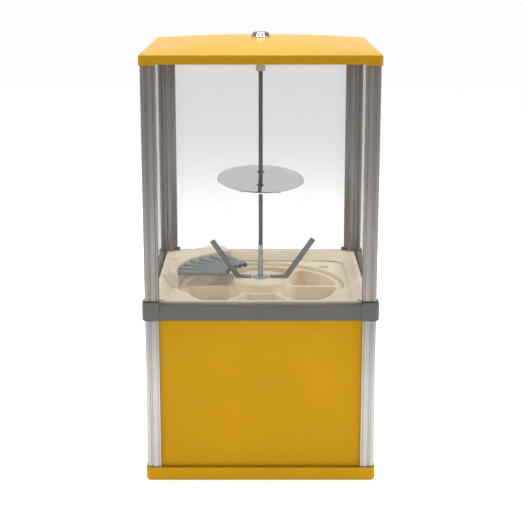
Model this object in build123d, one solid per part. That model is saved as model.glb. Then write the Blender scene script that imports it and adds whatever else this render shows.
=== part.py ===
from build123d import *
import math
import os

# Countertop capsule vendor. Millimetres, +Z up, origin on the floor at the middle of the base.
# +Y is the operating front with the coin mechanism and the chute door, -Y is the plain back,
# and left and right (-X and +X) are as seen from the plain back.

# ------------------------------------------------------------------ driving sizes
# Cabinet
CABINET = 312.0              # across the outer faces of the corner posts
POST = 19.0                  # side of the square corner posts
POST_EDGE = 5.0              # outer edge radius of a post
POST_LINES = ((5.6, 1.3, 1.2), (8.3, 0.9, 0.8), (16.0, 0.8, 0.8))   # start, width and depth of the outer lines
POST_SLOT = (10.0, 3.0, 3.0)       # start, width and depth of the slot in an upper post's inner faces
POST_BORE = (11.0, 2.0)            # middle and radius of the screw bore
LOWER_POST = 236.6           # length of the posts below the band
UPPER_POST = 342.0           # length of the posts above the band
PANEL = 1.0                  # lower sheet panels
PANEL_SETBACK = 5.0          # post face to panel face
WINDOW = 3.0                 # clear window panels
WINDOW_SETBACK = 4.5         # post face to window face
GROOVE_DEPTH = 6.0           # depth of the posts' panel grooves
GROOVE_PLAY = 0.2            # each side of a panel in its groove
EDGE_PLAY = 0.5              # panel edge to the bottom of its groove
WINDOW_TOP_PLAY = 1.0        # window below the top of the posts
RAIL_WIDTH = 6.0             # rails of the front posts that hold the front window
RAIL_LIP = 1.8

# Base pan
BASE_HEIGHT = 19.0
BASE_SHEET = 1.4
BASE_BEND = 4.0              # outer radius of the pan's floor edge
BASE_CORNER = 5.0            # radius of the pan's upright corners
STAND_SPACING = 200.0        # stand bolt holes, both ways
STAND_HOLE = 4.2             # radius

# Band between the lower and the upper cabinet
BAND_WEB = 3.0               # shelf that the upper posts and windows stand on
STRIP_WALL = 2.6
STRIP_DROP = 7.5             # strip below the shelf's underside
STRIP_RISE = 14.0            # strip above the shelf's underside
CAP_WALL = 3.3
CAP_DROP = 8.5
CAP_RISE = 17.2
CAP_CORNER = 8.0
CAP_PAST_POST = 0.8          # cap's seam with the strip inside the post's inner face
SEAT_PLAY = 0.2              # pans, caps and strips around the posts
SHELF_UNDER_TRAY = 5.0       # strip's shelf inside the tray's edge

# Lid
LID_SHEET = 1.6
LID_OVER = 2.0               # skirt face beyond the post face
LID_SKIRT = 10.3             # skirt below the top of the posts
LID_SHOULDER = 3.2           # skirt edge above the top of the posts
LID_RISE = 10.7              # crown above the skirt edge
LID_EDGE = 4.0               # rounding of the skirt's top edge
LID_SWELL = 2.2              # how fast the crown levels out towards the middle
LID_LOBE = 1.6               # how much lower the skirt hangs at the corners
LID_LOBE_LENGTH = 24.0
LID_CROWN_FLAT = 20.0        # half width of the level middle of the crown
LID_PAD_INSET = 2.0          # seats under the crown inside the posts' outer faces

# Lock on the lid
LOCK_BEZEL = 13.5            # radius at the lid
LOCK_TOP = 10.0              # radius at the top
LOCK_HEIGHT = 7.1
LOCK_FLANGE = 1.6
LOCK_BARREL = 7.3
LOCK_FLUTES = 16
FERRULE = 6.75
FERRULE_LENGTH = 45.3        # below the lid's underside
FERRULE_FLANGE = 10.0

# Centre rod and what sits on it
ROD = 3.0                    # radius
ROD_TOP_GAP = 20.0           # rod end below the lid's underside
SLEEVE_WALL = 0.7
ROD_SLEEVE_LENGTH = 47.0
ROD_WASHER = 11.8
ROD_WASHER_THICKNESS = 1.5
SLEEVE_GROOVE = (0.7, 0.8, 0.4)    # share of the sleeve's length, width and depth
GRUB_SCREW = (22.0, 1.4, 2.4)      # height up the sleeve, radius and length outside the sleeve
ANCHOR_DEPTH = 18.0          # rod and anchor below the tray
ANCHOR_FLANGE = (22.0, 3.0)        # radius and thickness
ANCHOR_WALL = 5.0
ANCHOR_HOLES = (16.0, 2.2)         # distance from the rod and radius
DISC = 62.5                  # radius of the baffle disc
DISC_THICKNESS = 1.5
DISC_PLAY = 1.2              # disc's hole around the rod
DISC_ABOVE_HUB = 145.6       # disc centre above the hub's top
DISC_PITCH = 8.4             # degrees, back edge down
DISC_ROLL = 1.6              # degrees, left edge up
STOP = 5.5                   # radius of the clips on the rod
STOP_THICKNESS = 1.0
DISC_TRAVEL = 8.0

# Hopper tray
TRAY_TO_WINDOW = 2.5         # tray edge to the window face
TRAY_HEIGHT = 13.0           # rim above the band's shelf
TRAY_WALL = 2.6
RIM_FLAT = 5.5               # level border of the tray
RIM_SLOPE = 13.5             # width of the slope inside the border
PLATEAU_DROP = 14.0          # rim to the level floor around the well
PLATEAU_LEDGE = 5.5          # ledge between the slope's foot and the well
WELL_DEPTH = 51.0            # plateau to the well floor
WELL_PLAY = 1.5              # well wall to the wheel, all round
TRAY_CORNER = 30.0           # corner radius of the slope's top edge
SLOPE_CORNER = 26.0          # corner radius of the slope's foot
CLIP_WIDTH = 10.0            # window clips
CLIP_HEIGHT = 5.0
CLIP_SEAT = 2.0              # clip on the tray's border
GASKET_PLAY = 0.2
RECESS_ANGLE = 43.94         # degrees: screw recess in the plateau
RECESS_RADIUS = 8.0
RECESS_GAP = 3.8             # well wall to the recess
RECESS_DEPTH = 2.4
NOTCH_X = 71.0               # notch in the front slope
NOTCH_RADIUS = 10.5
NOTCH_BACK = 9.0             # middle of the notch inside the slope's foot
TRAY_SLOT = (208.0, 10.5, 34.0, 1.6, 1.2)   # degrees, beyond the well, length, width and depth
BACK_SCREWS = (5.5, 4.5)     # tray screws inside the posts' inner faces and inside the tray's edge
FRONT_SCREWS = (10.0, 6.5)
GASKET_DROP = 5.5            # gasket top below the rim

# Product wheel
CUPS = 6
WHEEL_DROP = 4.8             # wheel rim below the plateau
WHEEL_GAP = 1.0              # wheel above the well floor
WHEEL_RIM = 9.0              # rim thickness outside the cups
SPOKE = 8.0
CUP_CORNER = 9.0
HUB = 40.0                   # radius
HUB_WALL = 6.0               # hub edge to the cups
HUB_RISE = 13.8              # hub top above the rim
HUB_EDGE = 5.0
BUSH_WALL = 4.0              # wheel's bearing bush
BUSH_PLAY = 0.06
MOVING_GAP = 0.4             # between faces that move past each other
DISCHARGE_ANGLE = 150.0      # degrees from +X: where a cup empties

# Agitator arms on the hub
ARM_SHEET = 2.5
ARM_WIDTH = 7.7
ARM_FOOT_START = 13.5
ARM_FOOT_WIDTH = 12.0
ARM_LEFT = (-31.0, -70.5, 56.0)    # foot end x, tip x, tip height above the hub
ARM_RIGHT = (35.0, 76.0, 58.5)
ARM_SCREW = 20.6                   # screw distance from the rod
ARM_SCREW_ROOM = 0.4               # round the screw's head
ARM_WEB = 4.6                      # height of the stiffening web at the bend

# Spring housing over the discharge cup
HOUSING_START = 112.0        # degrees
HOUSING_END = 192.0
HOUSING_RISE = 8.0           # above the tray's rim
HOUSING_MARGIN = 3.0         # inside the tray's edge
HOUSING_CORNER_CUT = 43.2    # cut corner face inside the sharp corner
HOUSING_SCREW_PLACES = ((190.3, 11.2), (157.4, 14.1), (130.2, 9.1))   # degrees and inset
HOUSING_SCREW_DEPTH = 8.0    # screw holes below the plateau
SPRINGS = 7
SPRING_FIRST = 180.0         # degrees
SPRING_LAST = 118.0
SPRING = 4.0                 # outer radius
SPRING_WIRE = 1.1
SPRING_INNER = 49.5          # rod to the free ends
SPRING_SEAT = 5.0            # depth of each spring's socket in the housing
SPRING_TIP = 2.6
SPRING_TIP_LENGTH = 2.4
SPRING_ABOVE_RIM = 1.7       # spring axes above the tray's rim

# Fasteners
SCREW_SHANK = 1.5
SCREW_HEAD = 3.2
SCREW_HEAD_HEIGHT = 1.8
SCREW_LENGTH = 9.0
SCREW_PLAY = 0.05

# Drive from the coin mechanism to the wheel
RING_FACE = 8.0              # width of the toothed ring
RING_HEIGHT = 7.0
RING_TEETH = 72
PINION_TEETH = 12            # teeth of the pinion: one turn moves the wheel by one cup
TOOTH_HEIGHT = 4.2
TOOTH_ADDENDUM = 1.9
TOOTH_FILL = 0.40            # share of the pitch filled by a tooth at the pitch line
TOOTH_SLOPE = 16.0           # degrees
PINION_SIDE_PLAY = 0.8
SHAFT = 5.0
SHAFT_PLAY = 0.05

# Coin mechanism
PLATE_WIDTH = 96.0
PLATE_ABOVE = 52.0           # plate above the shaft
PLATE_BELOW = 54.0
PLATE_THICKNESS = 3.5
PLATE_CORNER = 10.0
COIN = 12.2                  # coin radius
COIN_THICKNESS = 2.0
SLOT_ABOVE = 36.0            # coin slot above the shaft
BODY_HALF_WIDTH = 27.0
BODY_ABOVE = 9.0             # body wall above the coin wheel
BODY_WALL = 3.0
COIN_WHEEL = 25.0
COIN_WHEEL_THICKNESS = 6.0
RATCHET_TEETH = 12
RATCHET_DEPTH = 2.2
PAWL_PIVOT = (20.0, 20.5)    # x and height from the shaft
PAWL_PIN = 1.6
PAWL_THICKNESS = 4.0
HANDLE_HUB = 17.0
HANDLE_LENGTH = 74.0
HANDLE_GRIP = 13.0
HANDLE_REACH = 26.0          # handle front beyond the plate
RETURN_WIDTH = 26.0
RETURN_HEIGHT = 17.0
RETURN_BELOW = 36.0          # coin return cup below the shaft

# Chute and its door
CHUTE_WIDTH = 66.0
CHUTE_WALL = 2.0
CHUTE_BACK = 34.0            # chute's back wall behind the middle of the discharge hole
CHUTE_DROP = 36.0            # upright part of the chute's back wall
CHUTE_MOUTH = 20.0           # upright part of the chute's front wall
DISCHARGE_HOLE = 30.5        # radius
DOOR_BOTTOM = 32.0
DOOR_HEIGHT = 70.0
DOOR_WIDTH = 60.0
DOOR_THICKNESS = 2.5
DOOR_PLAY = 0.8
DOOR_PIN = 1.5
DOOR_PIN_PLAY = 0.06
DOOR_FRAME = 7.0             # visible width of the frame
DOOR_FRAME_PROUD = 5.0
KNUCKLE = 3.2

# Coin box on the pan floor
COIN_BOX = (100.0, 78.0, 70.0)
COIN_BOX_WALL = 1.5
COIN_BOX_CORNER = 6.0

# ------------------------------------------------------------------ places worked out from the sizes
POST_FACE = CABINET / 2
POST_INNER = POST_FACE - POST
PANEL_HALF = POST_INNER + GROOVE_DEPTH - EDGE_PLAY

FLOOR = BASE_SHEET                       # inside of the pan
BASE_HALF = POST_FACE + SEAT_PLAY + BASE_SHEET
WEB_LOW = FLOOR + LOWER_POST
WEB_TOP = WEB_LOW + BAND_WEB
POST_TOP = WEB_TOP + UPPER_POST
SEAM = POST_INNER - CAP_PAST_POST

PANEL_OUT = POST_FACE - PANEL_SETBACK
WINDOW_OUT = POST_FACE - WINDOW_SETBACK
WINDOW_IN = WINDOW_OUT - WINDOW

TRAY_HALF = WINDOW_IN - TRAY_TO_WINDOW
RIM = WEB_TOP + TRAY_HEIGHT
SLOPE_TOP = TRAY_HALF - RIM_FLAT
SLOPE_FOOT = SLOPE_TOP - RIM_SLOPE
PLATEAU = RIM - PLATEAU_DROP
WELL = SLOPE_FOOT - PLATEAU_LEDGE
WELL_FLOOR = PLATEAU - WELL_DEPTH
TRAY_UNDER = WELL_FLOOR - TRAY_WALL

WHEEL = WELL - WELL_PLAY
WHEEL_LOW = WELL_FLOOR + WHEEL_GAP
WHEEL_TOP = PLATEAU - WHEEL_DROP
HUB_TOP = WHEEL_TOP + HUB_RISE
CUP_OUT = WHEEL - WHEEL_RIM
CUP_IN = HUB + HUB_WALL
CUP_MIDDLE = (CUP_OUT + CUP_IN) / 2
DISCHARGE_X = CUP_MIDDLE * math.cos(math.radians(DISCHARGE_ANGLE))
DISCHARGE_Y = CUP_MIDDLE * math.sin(math.radians(DISCHARGE_ANGLE))

LID_HALF = POST_FACE + LID_OVER
LID_CORNER = POST_EDGE + LID_OVER
SKIRT_LOW = POST_TOP - LID_SKIRT
SKIRT_TOP = POST_TOP + LID_SHOULDER
CROWN = SKIRT_TOP + LID_RISE
LID_UNDER = CROWN - LID_SHEET
ROD_TOP = LID_UNDER - ROD_TOP_GAP
ROD_LOW = TRAY_UNDER - ANCHOR_DEPTH
ROD_SLEEVE = ROD + SLEEVE_WALL
DISC_HOLE = ROD + DISC_PLAY
BUSH = ROD + BUSH_WALL
SLEEVE_LOW = HUB_TOP + MOVING_GAP + ROD_WASHER_THICKNESS
DISC_Z = HUB_TOP + DISC_ABOVE_HUB

RING_OUT = WHEEL - 0.5
RING_IN = RING_OUT - RING_FACE
RING_PITCH = (RING_OUT + RING_IN) / 2
TOOTH_PITCH = 2 * math.pi * RING_PITCH / RING_TEETH
PITCH_Z = WHEEL_LOW + TOOTH_ADDENDUM
PINION_PITCH = RING_PITCH * PINION_TEETH / RING_TEETH
SHAFT_Z = PITCH_Z - PINION_PITCH
PINION_TIP = PINION_PITCH + TOOTH_ADDENDUM
BODY_FRONT = PANEL_OUT - PANEL
PLATE_FRONT = PANEL_OUT + PLATE_THICKNESS
COIN_WHEEL_FRONT = BODY_FRONT - BODY_WALL - MOVING_GAP
COIN_WHEEL_BACK = COIN_WHEEL_FRONT - COIN_WHEEL_THICKNESS
BODY_BACK = COIN_WHEEL_BACK - MOVING_GAP - BODY_WALL

HOUSING_TOP = RIM + HOUSING_RISE
HOUSING_HALF = TRAY_HALF - HOUSING_MARGIN
HOUSING_CUT = HOUSING_HALF * math.sqrt(2) - HOUSING_CORNER_CUT   # rod to the cut corner face
SPRING_Z = RIM + SPRING_ABOVE_RIM
DOOR_TOP = DOOR_BOTTOM + DOOR_HEIGHT
HINGE_Y = PANEL_OUT + DOOR_FRAME_PROUD - KNUCKLE + 0.6
HINGE_Z = DOOR_TOP - KNUCKLE - DOOR_PLAY

# ------------------------------------------------------------------ building blocks


def block(x0, x1, y0, y1, z0, z1):
    """A box between two corners."""
    return Pos((x0 + x1) / 2, (y0 + y1) / 2, (z0 + z1) / 2) * Box(abs(x1 - x0), abs(y1 - y0), z1 - z0)


def upright(radius, z0, z1, x=0.0, y=0.0):
    """A cylinder along Z."""
    return Pos(x, y, (z0 + z1) / 2) * Cylinder(radius, z1 - z0)


def along_y(radius, y0, y1, x, z):
    """A cylinder along Y."""
    return Pos(x, (y0 + y1) / 2, z) * Rot(90, 0, 0) * Cylinder(radius, y1 - y0)


def along_x(radius, x0, x1, y, z):
    """A cylinder along X."""
    return Pos((x0 + x1) / 2, y, z) * Rot(0, 90, 0) * Cylinder(radius, x1 - x0)


def rounded_prism(half, corner, z0, z1):
    """A square prism with rounded upright edges, centred on the Z axis."""
    return extrude(Pos(0, 0, z0) * RectangleRounded(2 * half, 2 * half, corner), z1 - z0)


def prism_xy(points, z0, z1):
    """A prism standing on an outline in the XY plane."""
    return extrude(Pos(0, 0, z0) * make_face(Polyline(*points, close=True)), z1 - z0)


def prism_xz(points, y0, y1):
    """A prism along Y on an outline of (x, z) points."""
    outline = make_face(Polyline(*[(x, y1, z) for x, z in points], close=True))
    return extrude(outline, y1 - y0, dir=(0, -1, 0))


def prism_yz(points, x0, x1):
    """A prism along X on an outline of (y, z) points."""
    outline = make_face(Polyline(*[(x0, y, z) for y, z in points], close=True))
    return extrude(outline, x1 - x0, dir=(1, 0, 0))


def quarter(shape, turns):
    """The shape turned about Z by quarter turns."""
    return Rot(0, 0, 90 * turns) * shape


def screw(x, y, z):
    """A pan head screw whose head rests at height z, with a cross recess."""
    head = upright(SCREW_HEAD, z, z + SCREW_HEAD_HEIGHT, x, y)
    head = fillet(head.edges().group_by(Axis.Z)[-1], SCREW_HEAD_HEIGHT * 0.6)
    slot = Box(SCREW_HEAD * 1.1, 0.9, 1.6)
    cross = Pos(x, y, z + SCREW_HEAD_HEIGHT) * (slot + Rot(0, 0, 90) * slot)
    return head + upright(SCREW_SHANK, z - SCREW_LENGTH, z, x, y) - cross


# ------------------------------------------------------------------ cabinet


def post(z0, length, groove_face, groove_width, slots=()):
    """A corner post at the -X, -Y corner, with panel grooves, outer lines and slots in its inner faces."""
    low = -POST_FACE
    high = -POST_INNER
    top = z0 + length
    body = block(low, high, low, high, z0, top)
    body = fillet(body.edges().filter_by(Axis.Z).sort_by(lambda e: e.center().X + e.center().Y)[0], POST_EDGE)
    near = -groove_face - GROOVE_PLAY
    far = -groove_face + groove_width + GROOVE_PLAY
    body -= block(high - GROOVE_DEPTH, high, near, far, z0, top)
    body -= block(near, far, high - GROOVE_DEPTH, high, z0, top)
    for start, width, depth in POST_LINES:
        body -= block(low + start, low + start + width, low, low + depth, z0, top)
        body -= block(low, low + depth, low + start, low + start + width, z0, top)
    for start, width, depth in slots:
        body -= block(low + start, low + start + width, high - depth, high, z0, top)
        body -= block(high - depth, high, low + start, low + start + width, z0, top)
    middle, radius = POST_BORE
    return body - upright(radius, z0, top, low + middle, low + middle)


def window_rail():
    """Two lips that continue the back window's groove beyond the -X post, above the window's clip."""
    z0 = RIM + CLIP_HEIGHT + MOVING_GAP
    groove_out = WINDOW_OUT + GROOVE_PLAY
    groove_in = WINDOW_IN - GROOVE_PLAY
    lips = block(-POST_INNER, -POST_INNER + RAIL_WIDTH, -groove_out - RAIL_LIP, -groove_out, z0, POST_TOP)
    return lips + block(-POST_INNER, -POST_INNER + RAIL_WIDTH, -groove_in, -groove_in + RAIL_LIP, z0, POST_TOP)


def upper_post(corner):
    """Upper post of one corner; the two front posts carry the rails of the front window."""
    body = post(WEB_TOP, UPPER_POST, WINDOW_OUT, WINDOW, (POST_SLOT,))
    if corner == "front_right":
        body += window_rail()
    if corner == "front_left":
        body += mirror(window_rail(), Plane(origin=(0, 0, 0), z_dir=(1, -1, 0)))
    return body


def base_pan():
    """Pressed sheet pan that the cabinet stands in, with four holes for a stand."""
    pan = rounded_prism(BASE_HALF, BASE_CORNER, 0, BASE_HEIGHT)
    pan = fillet(pan.edges().group_by(Axis.Z)[0], BASE_BEND)
    pan -= rounded_prism(BASE_HALF - BASE_SHEET, BASE_CORNER - BASE_SHEET, FLOOR, BASE_HEIGHT)
    for x in (-1, 1):
        for y in (-1, 1):
            pan -= upright(STAND_HOLE, 0, FLOOR, x * STAND_SPACING / 2, y * STAND_SPACING / 2)
    return pan


def lower_panel():
    """Plain sheet panel of the back."""
    return block(-PANEL_HALF, PANEL_HALF, -PANEL_OUT, -PANEL_OUT + PANEL, FLOOR, WEB_LOW)


def front_panel():
    """Front sheet with openings for the coin mechanism and the chute."""
    panel = quarter(lower_panel(), 2)
    y0 = PANEL_OUT - PANEL
    panel -= plate_openings(y0, PANEL_OUT) + along_y(SHAFT + 2.0, y0, PANEL_OUT, 0, SHAFT_Z)
    half = DOOR_WIDTH / 2 + DOOR_PLAY
    return panel - block(DISCHARGE_X - half, DISCHARGE_X + half, y0, PANEL_OUT, DOOR_BOTTOM, DOOR_TOP)


def window():
    """Clear panel of the back, standing on the band's shelf."""
    return block(-PANEL_HALF, PANEL_HALF, -WINDOW_OUT, -WINDOW_IN, WEB_TOP, POST_TOP - WINDOW_TOP_PLAY)


def band_cap():
    """Corner cap at the -X, -Y corner, with the shelf between the lower and upper posts."""
    face = POST_FACE + SEAT_PLAY
    outer = face + CAP_WALL
    z0 = WEB_LOW - CAP_DROP
    z1 = WEB_LOW + CAP_RISE
    body = block(-outer, -SEAM, -outer, -SEAM, z0, z1)
    upright_edge = body.edges().filter_by(Axis.Z).sort_by(lambda e: e.center().X + e.center().Y)[0]
    body = fillet(upright_edge, CAP_CORNER)
    outside = [e for e in body.edges().group_by(Axis.Z)[0] + body.edges().group_by(Axis.Z)[-1]
               if e.center().X < -SEAM - 1 and e.center().Y < -SEAM - 1
               and (e.center().X < -face or e.center().Y < -face)]
    body = fillet(outside, 1.6)
    body -= block(-face, -SEAM, -face, -SEAM, z0, WEB_LOW)
    return body - block(-face, -SEAM, -face, -SEAM, WEB_TOP, z1)


def band_strip():
    """Band strip of the back between two caps, with the shelf for window and tray."""
    face = POST_FACE + SEAT_PLAY
    shelf_edge = TRAY_HALF - SHELF_UNDER_TRAY
    low = WEB_LOW - STRIP_DROP
    high = WEB_LOW + STRIP_RISE
    wall = block(-SEAM, SEAM, -face - STRIP_WALL, -face, low, high)
    wall = fillet(wall.edges().filter_by(Axis.X).sort_by(Axis.Y)[:2], 1.0)
    return wall + block(-SEAM, SEAM, -face, -shelf_edge, WEB_LOW, WEB_TOP)


# ------------------------------------------------------------------ lid and lock


def crowned(half, corner, edge, z_low, z_edge, rise, flat):
    """A square prism with a rounded top edge and a crown that swells to a level middle."""
    stations = [(0.0, z_low)]
    for degrees in (0, 30, 60):
        turn = math.radians(degrees)
        stations.append((edge * (1 - math.cos(turn)), z_edge - edge * (1 - math.sin(turn))))
    for share in (0.0, 0.04, 0.10, 0.18, 0.28, 0.40, 0.55, 0.75, 1.0):
        inward = edge + share * (half - edge - flat)
        stations.append((inward, z_edge + rise * (1 - (1 - share) ** LID_SWELL)))
    sections = []
    for inward, z in stations:
        side = 2 * (half - inward)
        sections.append(Pos(0, 0, z) * RectangleRounded(side, side, corner))
    return loft(sections, ruled=True)


def lid():
    """Pressed lid whose skirt drops over the post tops and hangs lower at the corners."""
    low = SKIRT_LOW - LID_LOBE
    shell = crowned(LID_HALF, LID_CORNER, LID_EDGE, low, SKIRT_TOP, LID_RISE, LID_CROWN_FLAT)
    inner = crowned(LID_HALF - LID_SHEET, LID_CORNER - LID_SHEET, LID_EDGE - LID_SHEET, low,
                    SKIRT_TOP - LID_SHEET, LID_RISE, LID_CROWN_FLAT)
    reach = LID_HALF - LID_LOBE_LENGTH
    pads = None
    for turns in range(4):
        shell -= quarter(block(-reach, reach, -LID_HALF, -POST_INNER, low, SKIRT_LOW), turns)
        side = POST_FACE - LID_PAD_INSET
        pad = quarter(block(-side, -POST_INNER, -side, -POST_INNER, POST_TOP, CROWN), turns)
        pads = pad if pads is None else pads + pad
    inner -= pads
    return shell - inner - upright(FERRULE + 0.15, SKIRT_LOW, CROWN)


def lock_bezel():
    """Fluted ring that holds the lock barrel on the crown."""
    profile = make_face(Polyline(
        (LOCK_BARREL + BUSH_PLAY, 0, CROWN), (LOCK_BEZEL, 0, CROWN), (LOCK_BEZEL, 0, CROWN + LOCK_FLANGE),
        (LOCK_TOP, 0, CROWN + LOCK_HEIGHT), (LOCK_BARREL + BUSH_PLAY, 0, CROWN + LOCK_HEIGHT), close=True))
    ring = revolve(profile, Axis.Z)
    for number in range(LOCK_FLUTES):
        flute = upright(0.8, CROWN + LOCK_FLANGE + 0.4, CROWN + LOCK_HEIGHT, (LOCK_BEZEL + LOCK_TOP) / 2, 0)
        ring -= Rot(0, 0, number * 360 / LOCK_FLUTES) * flute
    return ring


def lock_barrel():
    """Turning core of the lock, with a round key slot."""
    core = upright(LOCK_BARREL, CROWN + 0.4, CROWN + LOCK_HEIGHT - 0.6)
    ring = upright(3.6, CROWN + 3.4, CROWN + LOCK_HEIGHT) - upright(2.3, CROWN + 3.4, CROWN + LOCK_HEIGHT)
    return core - ring - block(3.0, 5.2, -0.8, 0.8, CROWN + 3.4, CROWN + LOCK_HEIGHT)


def lock_ferrule():
    """Long socket under the lid that drops over the top of the rod."""
    low = LID_UNDER - FERRULE_LENGTH
    tube = upright(FERRULE, low, CROWN) + upright(FERRULE_FLANGE, LID_UNDER - 2.0, LID_UNDER)
    return tube - upright(ROD + 0.6, low, CROWN)


# ------------------------------------------------------------------ rod and baffle disc


def rod_sleeve():
    """Spacer tube around the foot of the rod, with a turned groove and a grub screw."""
    high = SLEEVE_LOW + ROD_SLEEVE_LENGTH
    share, width, depth = SLEEVE_GROOVE
    tube = upright(ROD_SLEEVE, SLEEVE_LOW, high)
    groove_z = SLEEVE_LOW + share * ROD_SLEEVE_LENGTH
    tube -= upright(ROD_SLEEVE, groove_z, groove_z + width) - upright(ROD_SLEEVE - depth, groove_z, groove_z + width)
    height, radius, length = GRUB_SCREW
    tube += along_x(radius, 0, ROD_SLEEVE + length, 0, SLEEVE_LOW + height)
    return tube - upright(ROD, SLEEVE_LOW, high)


def rod_washer():
    """Flange that keeps the wheel down, just clear of the hub."""
    low = HUB_TOP + MOVING_GAP
    return upright(ROD_WASHER, low, SLEEVE_LOW) - upright(ROD, low, SLEEVE_LOW)


def rod_anchor():
    """Threaded flange under the tray that the rod is screwed into."""
    flange, thickness = ANCHOR_FLANGE
    distance, radius = ANCHOR_HOLES
    plate = upright(flange, TRAY_UNDER - thickness, TRAY_UNDER)
    plate += upright(ROD + ANCHOR_WALL, ROD_LOW, TRAY_UNDER - thickness)
    for number in range(3):
        plate -= Rot(0, 0, 30 + 120 * number) * upright(radius, TRAY_UNDER - thickness, TRAY_UNDER, distance, 0)
    return plate - upright(ROD, ROD_LOW, TRAY_UNDER)


def baffle_disc():
    """Polished disc that hangs loose and tilted on the rod."""
    plate = Cylinder(DISC, DISC_THICKNESS) - Cylinder(DISC_HOLE, DISC_THICKNESS)
    return Pos(0, 0, DISC_Z) * Rot(DISC_PITCH, DISC_ROLL, 0) * plate


def disc_clips():
    """Spring clips on the rod below and above the disc."""
    lean = STOP * math.tan(math.radians(DISC_PITCH + DISC_ROLL)) + DISC_THICKNESS / 2 + MOVING_GAP
    clips = []
    for low in (DISC_Z - lean - STOP_THICKNESS, DISC_Z + lean + DISC_TRAVEL):
        ring = upright(STOP, low, low + STOP_THICKNESS) - upright(ROD, low, low + STOP_THICKNESS)
        clips.append(ring - block(-1.6, 1.6, 0, STOP, low, low + STOP_THICKNESS))
    return Compound(children=clips)


# ------------------------------------------------------------------ hopper tray


def pocket(half_top, corner_top, half_foot, corner_foot, z_top, z_foot):
    """The sloping recess inside the tray's border."""
    top = Pos(0, 0, z_top) * RectangleRounded(2 * half_top, 2 * half_top, corner_top)
    foot = Pos(0, 0, z_foot) * RectangleRounded(2 * half_foot, 2 * half_foot, corner_foot)
    return loft([foot, top], ruled=True)


def housing_screw(degrees, inset):
    """Place of a housing screw in a direction from the rod, inside the housing's outer faces."""
    turn = math.radians(degrees)
    across = HOUSING_HALF / max(abs(math.cos(turn)), abs(math.sin(turn)))
    reach = min(across, HOUSING_CUT / math.cos(turn - math.radians(135.0))) - inset
    return reach * math.cos(turn), reach * math.sin(turn)


RECESS_AT = WELL + RECESS_GAP + RECESS_RADIUS
RECESS = (RECESS_AT * math.cos(math.radians(RECESS_ANGLE)), RECESS_AT * math.sin(math.radians(RECESS_ANGLE)),
          RECESS_RADIUS)
NOTCH = (NOTCH_X, SLOPE_FOOT - NOTCH_BACK, NOTCH_RADIUS)
TRAY_SCREWS = [(side * (POST_INNER - inner), end * (TRAY_HALF - inset))
               for end, (inner, inset) in ((-1, BACK_SCREWS), (1, FRONT_SCREWS)) for side in (-1, 1)]
HOUSING_SCREWS = [housing_screw(degrees, inset) for degrees, inset in HOUSING_SCREW_PLACES]


def tray():
    """Moulded hopper tray: border, slope, level corners and the round well, one wall thick."""
    body = rounded_prism(TRAY_HALF, TRAY_WALL, WEB_TOP, RIM)
    body -= pocket(SLOPE_TOP, TRAY_CORNER, SLOPE_FOOT, SLOPE_CORNER, RIM, PLATEAU)
    under = pocket(SLOPE_TOP - TRAY_WALL * 0.4, TRAY_CORNER, SLOPE_FOOT + TRAY_WALL, SLOPE_CORNER,
                   RIM - TRAY_WALL, PLATEAU - TRAY_WALL)
    rim_under = rounded_prism(TRAY_HALF - TRAY_WALL, TRAY_WALL, WEB_TOP, RIM - TRAY_WALL)
    body -= rim_under - under
    floor = rounded_prism(SLOPE_FOOT + TRAY_WALL, SLOPE_CORNER, PLATEAU - TRAY_WALL, PLATEAU)
    body += floor
    body += upright(WELL + TRAY_WALL, TRAY_UNDER, PLATEAU)
    body -= upright(WELL, WELL_FLOOR, RIM)
    body = fillet(body.edges().filter_by(GeomType.CIRCLE).filter_by(
        lambda e: abs(e.radius - WELL) < 0.01 and abs(e.center().Z - PLATEAU) < 0.01), 1.2)
    x, y, radius = RECESS
    recess_floor = PLATEAU - RECESS_DEPTH
    body += (upright(radius + TRAY_WALL, recess_floor - TRAY_WALL, PLATEAU - TRAY_WALL, x, y)
             - upright(WELL, 0, RIM))
    body -= upright(radius, recess_floor, RIM, x, y)
    x, y, radius = NOTCH
    body += (upright(radius + TRAY_WALL, PLATEAU - 2 * TRAY_WALL, PLATEAU + 8.0, x, y)
             & block(x - 20, x + 20, SLOPE_FOOT, SLOPE_TOP, WEB_TOP - 8.0, RIM))
    body -= pocket(SLOPE_TOP, TRAY_CORNER, SLOPE_FOOT, SLOPE_CORNER, RIM, PLATEAU)
    body -= upright(radius, PLATEAU, RIM, x, y)
    degrees, beyond, length, width, depth = TRAY_SLOT
    body -= Rot(0, 0, degrees) * Pos(WELL + beyond, 0, PLATEAU) * Box(width, length, 2 * depth)
    corner = POST_INNER - MOVING_GAP
    for x in (-1, 1):
        for y in (-1, 1):
            body -= block(x * corner, x * TRAY_HALF, y * corner, y * TRAY_HALF, WEB_TOP, RIM)
    body -= upright(DISCHARGE_HOLE, TRAY_UNDER, WELL_FLOOR, DISCHARGE_X, DISCHARGE_Y)
    body -= upright(BUSH + 1.0, TRAY_UNDER, WELL_FLOOR)
    half = math.sqrt(PINION_TIP ** 2 - (TRAY_UNDER - SHAFT_Z) ** 2) + 2.0
    body -= block(-half, half, RING_IN - 1.5, WELL, TRAY_UNDER, WELL_FLOOR)
    for x, y in TRAY_SCREWS:
        body -= upright(SCREW_SHANK + SCREW_PLAY, WEB_TOP, RIM, x, y)
    for x, y in HOUSING_SCREWS:
        body -= upright(SCREW_SHANK + SCREW_PLAY, PLATEAU - HOUSING_SCREW_DEPTH, RIM, x, y)
    x, y, radius = RECESS
    return body - upright(SCREW_SHANK + SCREW_PLAY, recess_floor - TRAY_WALL, PLATEAU, x, y)


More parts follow.
